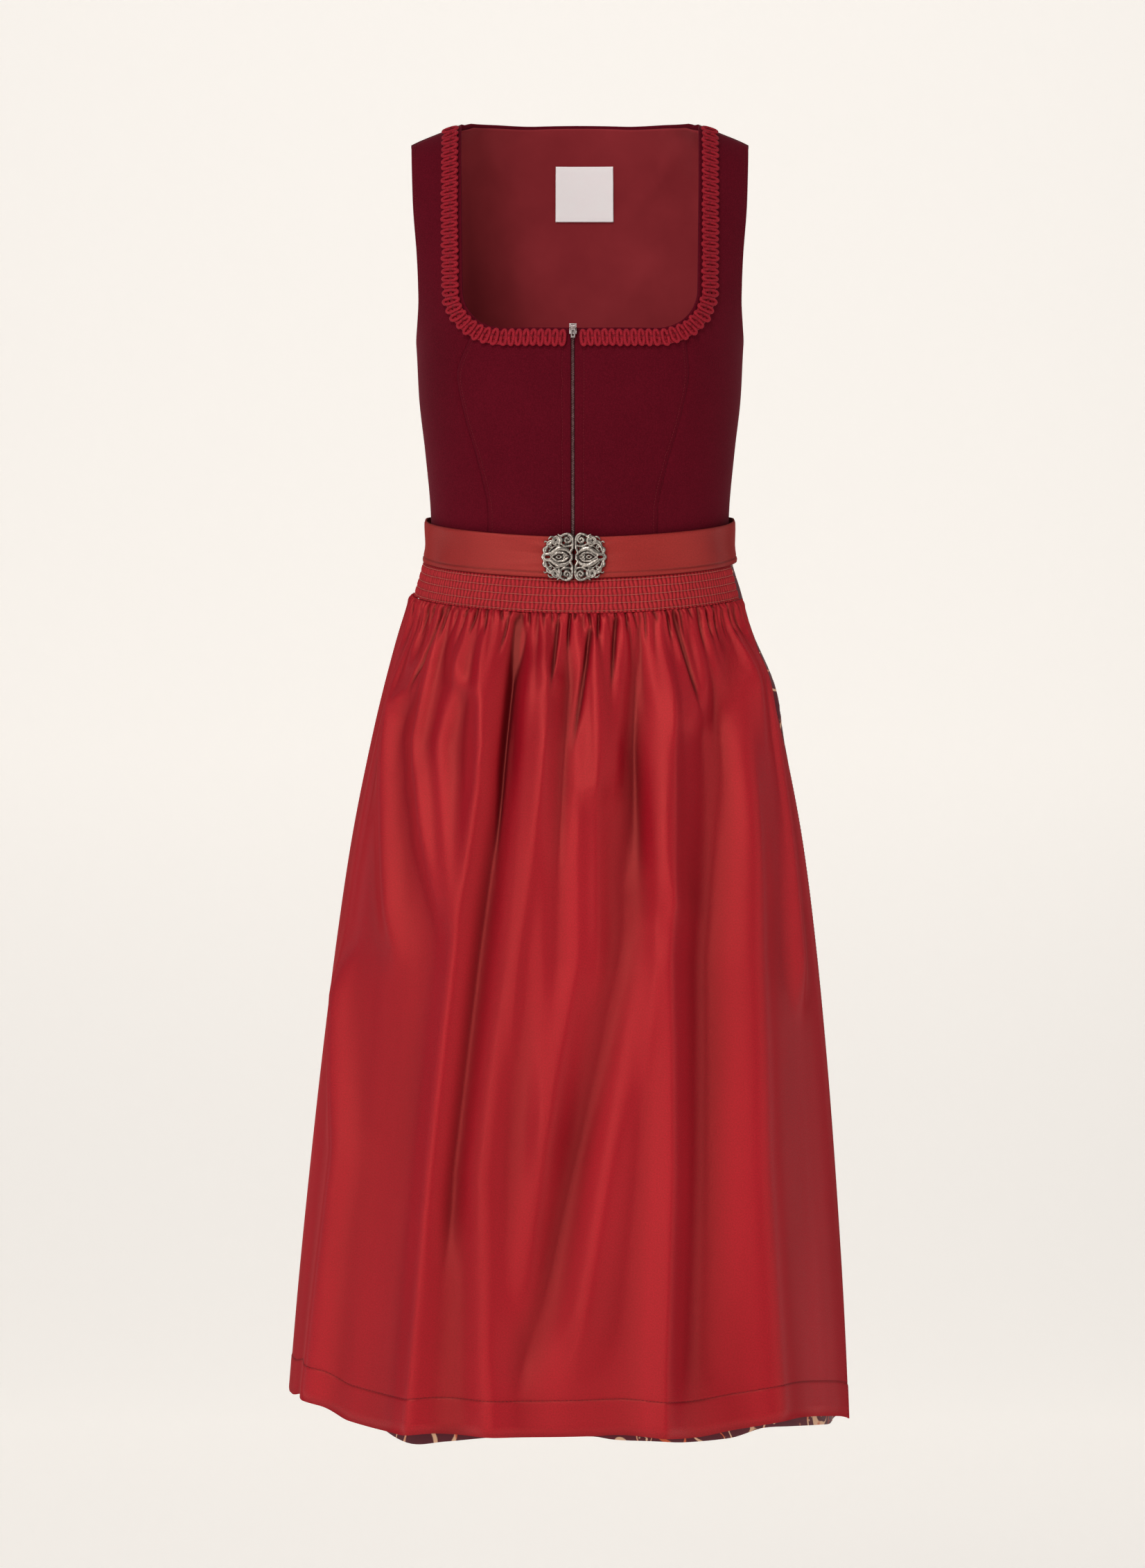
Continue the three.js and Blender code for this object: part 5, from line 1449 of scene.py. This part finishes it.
def apron_gathers(bearing, drop, radius):
    uneven = np.random.default_rng(21)
    total = np.zeros(np.broadcast(bearing, drop).shape)
    start, end = APRON_LEFT_BEARING + 1, float(apron_right_edge(SMOCK_BOTTOM_Z)) - 1
    below = np.maximum(0, drop)
    for gathers in GATHER_SETS:
        for index in range(gathers["count"]):
            place = (index + 0.5 + uneven.uniform(-0.35, 0.35)) / gathers["count"]
            width = uneven.uniform(*gathers["width"])
            height = uneven.uniform(*gathers["height"])
            length = lerp(gathers["low"], gathers["high"], uneven.uniform(0, 1) ** 1.6)
            drift = uneven.uniform(-1, 1) * gathers["drift"]
            line = lerp(start, end, place) + drift * (1 - np.exp(-below / GATHER_FAN))
            away = np.abs(np.radians(bearing - line) * radius) / (width * (1 + below / GATHER_FAN))
            swell = smoothstep(-3, 6, drop) * np.exp(-(below / length) ** 1.5)
            total = total + (height * swell * np.exp(-away ** 2)) ** GATHER_SHARP
    return total ** (1 / GATHER_SHARP)


# Narrow creases that start in the smocking: bearings at their ends, and where they run.
APRON_SLITS = records(
    "b0 b1 d0 d1 width depth",
    (-20, -20.5, 0, 230, 2.6, 5), (3.4, -2.6, 12, 130, 2.2, 4), (11.5, 8.5, 4, 74, 1.8, 3.5),
    (-7, -8.5, 6, 78, 1.8, 3.5), (31, 34, 0, 96, 2.2, 4), (-47, -55, 4, 90, 2.2, 4),
)
SHORT_SLITS = {"count": 44, "length": (9, 44), "width": (0.9, 1.5), "depth": (1.6, 3.2), "drift": 1.6}


def short_slits():
    uneven = np.random.default_rng(33)
    start, end = APRON_LEFT_BEARING + 2, float(apron_right_edge(SMOCK_BOTTOM_Z)) - 2
    for index in range(SHORT_SLITS["count"]):
        place = (index + 0.5 + uneven.uniform(-0.4, 0.4)) / SHORT_SLITS["count"]
        b0 = lerp(start, end, place)
        yield {"b0": b0, "b1": b0 + uneven.uniform(-1, 1) * SHORT_SLITS["drift"], "d0": -2,
               "d1": uneven.uniform(*SHORT_SLITS["length"]),
               "width": uneven.uniform(*SHORT_SLITS["width"]),
               "depth": uneven.uniform(*SHORT_SLITS["depth"])}


def slit_depth(bearing, drop, radius):
    deepest = np.zeros(np.broadcast(bearing, drop).shape)
    for slit in [*APRON_SLITS, *short_slits()]:
        way = (drop - slit["d0"]) / (slit["d1"] - slit["d0"])
        centre = lerp(slit["b0"], slit["b1"], np.clip(way, 0, 1))
        away = np.radians(bearing - centre) * radius / (slit["width"] * (1.2 - 0.5 * np.clip(way, 0, 1)))
        fade = smoothstep(-0.02, 0.06, way) * (1 - smoothstep(0.45, 1, way))
        deepest = np.maximum(deepest, slit["depth"] * fade * np.exp(-away ** 2))
    return deepest


RUMPLE_WAVES = 14
RUMPLE_ACROSS = (0.15, 0.9)
RUMPLE_ALONG = (-0.012, 0.012)


def rumple(bearing, drop, seed):
    """Small uneven waves that run mostly down the cloth."""
    total = np.zeros(np.broadcast(bearing, drop).shape)
    wave = np.random.default_rng(seed)
    for _ in range(RUMPLE_WAVES):
        across = wave.uniform(*RUMPLE_ACROSS)
        along = wave.uniform(*RUMPLE_ALONG)
        phase = wave.uniform(0, 2 * math.pi)
        total = total + np.sin(bearing * across + drop * along + phase) * wave.uniform(0.3, 1)
    return total / 5


# Short ridges that end in a hooked pocket: bearings and drops of their ends, and their height.
POCKET_SHARE = 0.75
POCKET_END = 16
APRON_HEM_DEEP = 30
APRON_POCKETS = records(
    "b0 d0 b1 d1 height width turn",
    (-62, 18, -50, 90, 10, 9, -8), (-40, 4, -37, 72, 8, 8, 5), (-24, 20, -31, 140, 7, 9, 6),
    (3, 30, 9, 158, 8, 9, -5), (24, 70, 15, 258, 11, 10, 7), (40, 16, 36, 100, 7, 9, -4),
    (-10, 10, -12, 60, 5, 7, 4),
)


def pocket_height(bearing, drop, radius):
    total = np.zeros(np.broadcast(bearing, drop).shape)
    for pocket in APRON_POCKETS:
        way = (drop - pocket["d0"]) / (pocket["d1"] - pocket["d0"])
        within = np.clip(way, 0, 1)
        centre = lerp(pocket["b0"], pocket["b1"], within) + pocket["turn"] * within ** 4
        away = np.abs(np.radians(bearing - centre) * radius) / (pocket["width"] * (1 + 0.5 * within))
        past_end = 1 + POCKET_END / (pocket["d1"] - pocket["d0"])
        rise = smoothstep(0, 0.8, way) * (1 - smoothstep(0.94, past_end, way))
        total = total + POCKET_SHARE * pocket["height"] * rise * np.exp(-away ** 2)
    return total


# How far the hems rise above or fall below their levels, by bearing.
HEM_RISE = table(
    "bearing apron skirt",
    (-97, 12, 3), (-82, 12, 6), (-76, 12, 10), (-66, 17, 20), (-56, 13, 25), (-48, 3, 12), (-34, -2, -9),
    (-27, 0, -5), (-10, -1, 2), (4, 0, 2), (9, 1, -1), (17, -1, -3), (24, -3, -5), (34, 2, -4),
    (44, 7, 2), (52, 5, 0), (66, -2, -5), (76, -9, -9), (90, -11, -11),
)
apron_hem_rise = curve_of(HEM_RISE, "bearing", "apron")
skirt_hem_rise = curve_of(HEM_RISE, "bearing", "skirt")


# The apron's grid: rows lie closer near the smocking, and by the stitched line of its hem.
APRON_COLUMNS = 440
APRON_ROWS = 104
APRON_HANG = 1.5
APRON_DROP = 700
HEM_LINE_ROWS = (-3.4, -1.6, -0.8, 0, 0.8, 1.6, 3.4)
APRON_STITCH = (3.4, 2.3, 0.22)
APRON_EDGE_STITCHES = (3, -4)


def build_apron():
    def place(u, v):
        hanging = 1 - (1 - v) ** APRON_HANG
        guess = lerp(APRON_HEM_Z, smock_bottom(-15.0), hanging)
        bearing = lerp(APRON_LEFT_BEARING, apron_right_edge(guess), u)
        hem = APRON_HEM_Z + apron_hem_rise(bearing)
        return bearing, lerp(hem, smock_bottom(bearing) - SEAM_GAP, hanging)

    def stands(bearing, z, u, v):
        drop = smock_bottom(bearing) - z
        radius = half_width_at(z)
        folds = APRON_FOLD_DEPTH * fold_height(APRON_FOLDS, bearing, drop, radius)
        folds = folds + pocket_height(bearing, drop, radius)
        gathers = apron_gathers(bearing, drop, radius)
        rib = u * SMOCK_RIBS
        ribs = 2.0 * np.abs(np.sin(math.pi * rib)) ** 0.6 * np.exp(-np.maximum(drop, 0) / 7)
        loose = 0.35 * rumple(bearing, drop, 3) * smoothstep(0, 90, drop)
        clear = CLOTH + 0.8 - apron_stands(z)
        up = z - APRON_HEM_Z - apron_hem_rise(bearing)
        line = np.exp(-((up - APRON_HEM_DEEP) / 0.8) ** 2)
        hem = 0.5 * smoothstep(APRON_HEM_DEEP + 1, APRON_HEM_DEEP - 0.5, up) - 0.45 * line
        slits = slit_depth(bearing, drop, radius)
        height = np.maximum(clear, folds + loose + gathers + ribs - slits)
        # Painted shade for the cloth's colour: dark in the valleys between gathers and folds, in the slits,
        # and along the hem's stitched groove.
        small = valley_shade(height, 3, 1.1) * np.exp(-np.maximum(drop, 0) / 90)
        broad = valley_shade(height, 14, 7.0)
        shades.append(np.clip(0.9 * small + 0.6 * broad + 0.3 * slits + 0.5 * line, 0, 1))
        return apron_stands(z) + height + CLOTH + hem

    shades = []
    hem_way = (APRON_HEM_DEEP + np.array(HEM_LINE_ROWS)) / APRON_DROP
    hem_rows = 1 - (1 - hem_way) ** (1 / APRON_HANG)
    way = np.sort(np.concatenate([np.linspace(0, 1, APRON_ROWS), hem_rows]))
    points, _ = grid_over(place, APRON_COLUMNS, len(way) - 1, stands, way)
    obj = wall("apron", points, CLOTH, MATERIALS["apron"], shade=shades[0])
    finish_piece(obj, "apron", "apron_panel")
    declare((760, 720))
    normals = surface_normals(points)
    middle_z = points[:, APRON_COLUMNS // 2, 2]
    row = int(np.argmin(np.abs(middle_z - middle_z[0] - APRON_HEM_DEEP)))
    stitched_line(stitches, points[row], normals[row], *APRON_STITCH)
    for column in APRON_EDGE_STITCHES:
        stitched_line(stitches, points[:, column], normals[:, column], *APRON_STITCH)


def clear_of_apron(bearing, z):
    signed = np.where(bearing > 180, bearing - 360, bearing)
    right = smoothstep(1, 7, signed - apron_right_edge(z))
    left = smoothstep(1, 7, APRON_LEFT_BEARING - signed)
    return np.maximum(right, left)


def skirt_stands(bearing, z, u, v):
    drop = waist_seam(bearing) - z
    exposed = clear_of_apron(bearing, z)
    apart = smoothstep(14, 50, drop)
    gathers = gather_height(SKIRT_GATHERS, bearing, drop, 360 / (2 * SKIRT_GATHERS["count"]))
    folds = fold_height(SKIRT_FOLDS, bearing, drop - 50, half_width_at(z))
    share = lerp(SKIRT_GATHERS["near_apron"] * apart * 0.3, 1, exposed) * (0.25 + 0.75 * apart)
    loose = 0.7 * rumple(bearing, drop, 11) * smoothstep(40, 160, drop) * exposed
    return gathers * share + folds * exposed + loose


SKIRT_HANG = 1.4
SKIRT_PARTS = records(
    "name node start end columns rows flat",
    ("skirt_front_cloth", "skirt_front", -90, 90, 160, 72, (640, 775)),
    ("skirt_back_cloth", "skirt_back", 90, 270, 240, 80, (800, 785)),
)


def build_skirt_part(name, node, start, end, columns, rows, flat):
    def place(u, v):
        hanging = 1 - (1 - v) ** SKIRT_HANG
        bearing = lerp(start, end, u)
        signed = np.where(bearing > 180, bearing - 360, bearing)
        fade = 1 - smoothstep(100, 130, np.abs(signed))
        hem = SKIRT_HEM_Z + fade * skirt_hem_rise(signed)
        return bearing, lerp(hem, waist_seam(bearing) - SEAM_GAP, hanging)

    points, _ = grid_over(place, columns, rows, skirt_stands)
    obj = wall(name, points, CLOTH, MATERIALS["print"])
    finish_piece(obj, "print", node)
    declare(flat)


for side, word in ((1, "right"), (-1, "left")):
    build_front_centre(side, word)
    build_front_side(side, word)
    build_back_side(side, word)
    build_braid(side, word)
    build_zip(side, word)
    build_clasp(side, word)
build_back_centre()
build_lining()
build_label()
build_slider()
build_belt()
build_smocking()
build_apron()
for part in SKIRT_PARTS:
    build_skirt_part(**part)
seams = stitches.build("topstitching", MATERIALS["thread"])
finish_piece(seams, "felt")


# The stage: a pale floor that curves up into a backdrop, soft lamps and the camera.

STAGE = {"floor": -1900, "front": -24000, "curve_from": 4200, "radius": 1400, "top": 5000,
         "half_width": 8000}


def build_stage():
    radius = STAGE["radius"]
    profile = [(STAGE["front"], STAGE["floor"])]
    for turn in np.linspace(0, math.pi / 2, 16):
        profile.append((STAGE["curve_from"] + radius * math.sin(turn),
                        STAGE["floor"] + radius * (1 - math.cos(turn))))
    profile.append((STAGE["curve_from"] + radius, STAGE["top"]))
    points = [(x, y, z) for y, z in profile for x in (-STAGE["half_width"], STAGE["half_width"])]
    faces = [(2 * i, 2 * i + 1, 2 * i + 3, 2 * i + 2) for i in range(len(profile) - 1)]
    material, tree, shader = new_material("stage")
    cream = rgba(250, 247, 243)
    set_shader(tree, shader, cream, 0.9, Specular_IOR_Level=0.1, Emission_Color=cream,
               Emission_Strength=0.315)
    sweep = add_object("stage", points, faces, material)
    sweep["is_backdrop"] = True


# Soft lamps, in metres and watts.
WARM_WHITE = (1, 0.97, 0.94)
WORLD_STRENGTH = 0.24
DRESS_MIDDLE = (0, 0, -0.6)
LAMPS = records(
    "name place target size power",
    ("left_panel", (-2.3, -1.5, 0.1), DRESS_MIDDLE, (1.0, 2.6), 16),
    ("right_panel", (2.3, -1.5, -0.1), DRESS_MIDDLE, (1.0, 2.6), 16),
    ("front_top", (-0.7, -2.6, 2.0), DRESS_MIDDLE, (1.0, 0.8), 41),
    ("front_tall", (-1.0, -2.8, -0.3), (0, 0, -0.55), (0.45, 1.8), 19),
    ("back_wash", (0, 2.6, 3.2), (0, 5.6, -0.4), (6.0, 1.5), 34),
)


def add_lamp(name, place, target, size, power):
    lamp = bpy.data.lights.new(name, "AREA")
    lamp.energy = power
    lamp.color = WARM_WHITE
    lamp.shape = "RECTANGLE"
    lamp.size, lamp.size_y = size
    obj = bpy.data.objects.new(name, lamp)
    obj.location = place
    obj.rotation_euler = (Vector(target) - Vector(place)).to_track_quat("-Z", "Y").to_euler()
    bpy.context.scene.collection.objects.link(obj)


def build_light():
    world = bpy.data.worlds.new("studio")
    bpy.context.scene.world = world
    world.use_nodes = True
    background = world.node_tree.nodes["Background"]
    background.inputs[0].default_value = (*WARM_WHITE, 1)
    background.inputs[1].default_value = WORLD_STRENGTH
    for lamp in LAMPS:
        add_lamp(**lamp)


def build_camera():
    camera = bpy.data.cameras.new("camera")
    camera.sensor_fit = "VERTICAL"
    camera.sensor_height = SENSOR_HEIGHT
    camera.lens = SENSOR_HEIGHT * CAMERA_AWAY / (PICTURE[1] * MM_PER_PIXEL)
    camera.clip_end = 50
    obj = bpy.data.objects.new("camera", camera)
    obj.location = (PICTURE_CENTRE[0] * MM, -CAMERA_AWAY * MM, PICTURE_CENTRE[1] * MM)
    obj.rotation_euler = (math.pi / 2, 0, 0)
    bpy.context.scene.collection.objects.link(obj)
    bpy.context.scene.camera = obj


build_stage()
build_light()
build_camera()
view = bpy.context.scene.view_settings
view.view_transform = "Standard"
view.look = "None"
view.exposure = 0

dressed_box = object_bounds()
boxes = {"cad": cad_box, "visual": dressed_box}
{key: [[float(v) for v in corner] for corner in box] for key, box in boxes.items()}
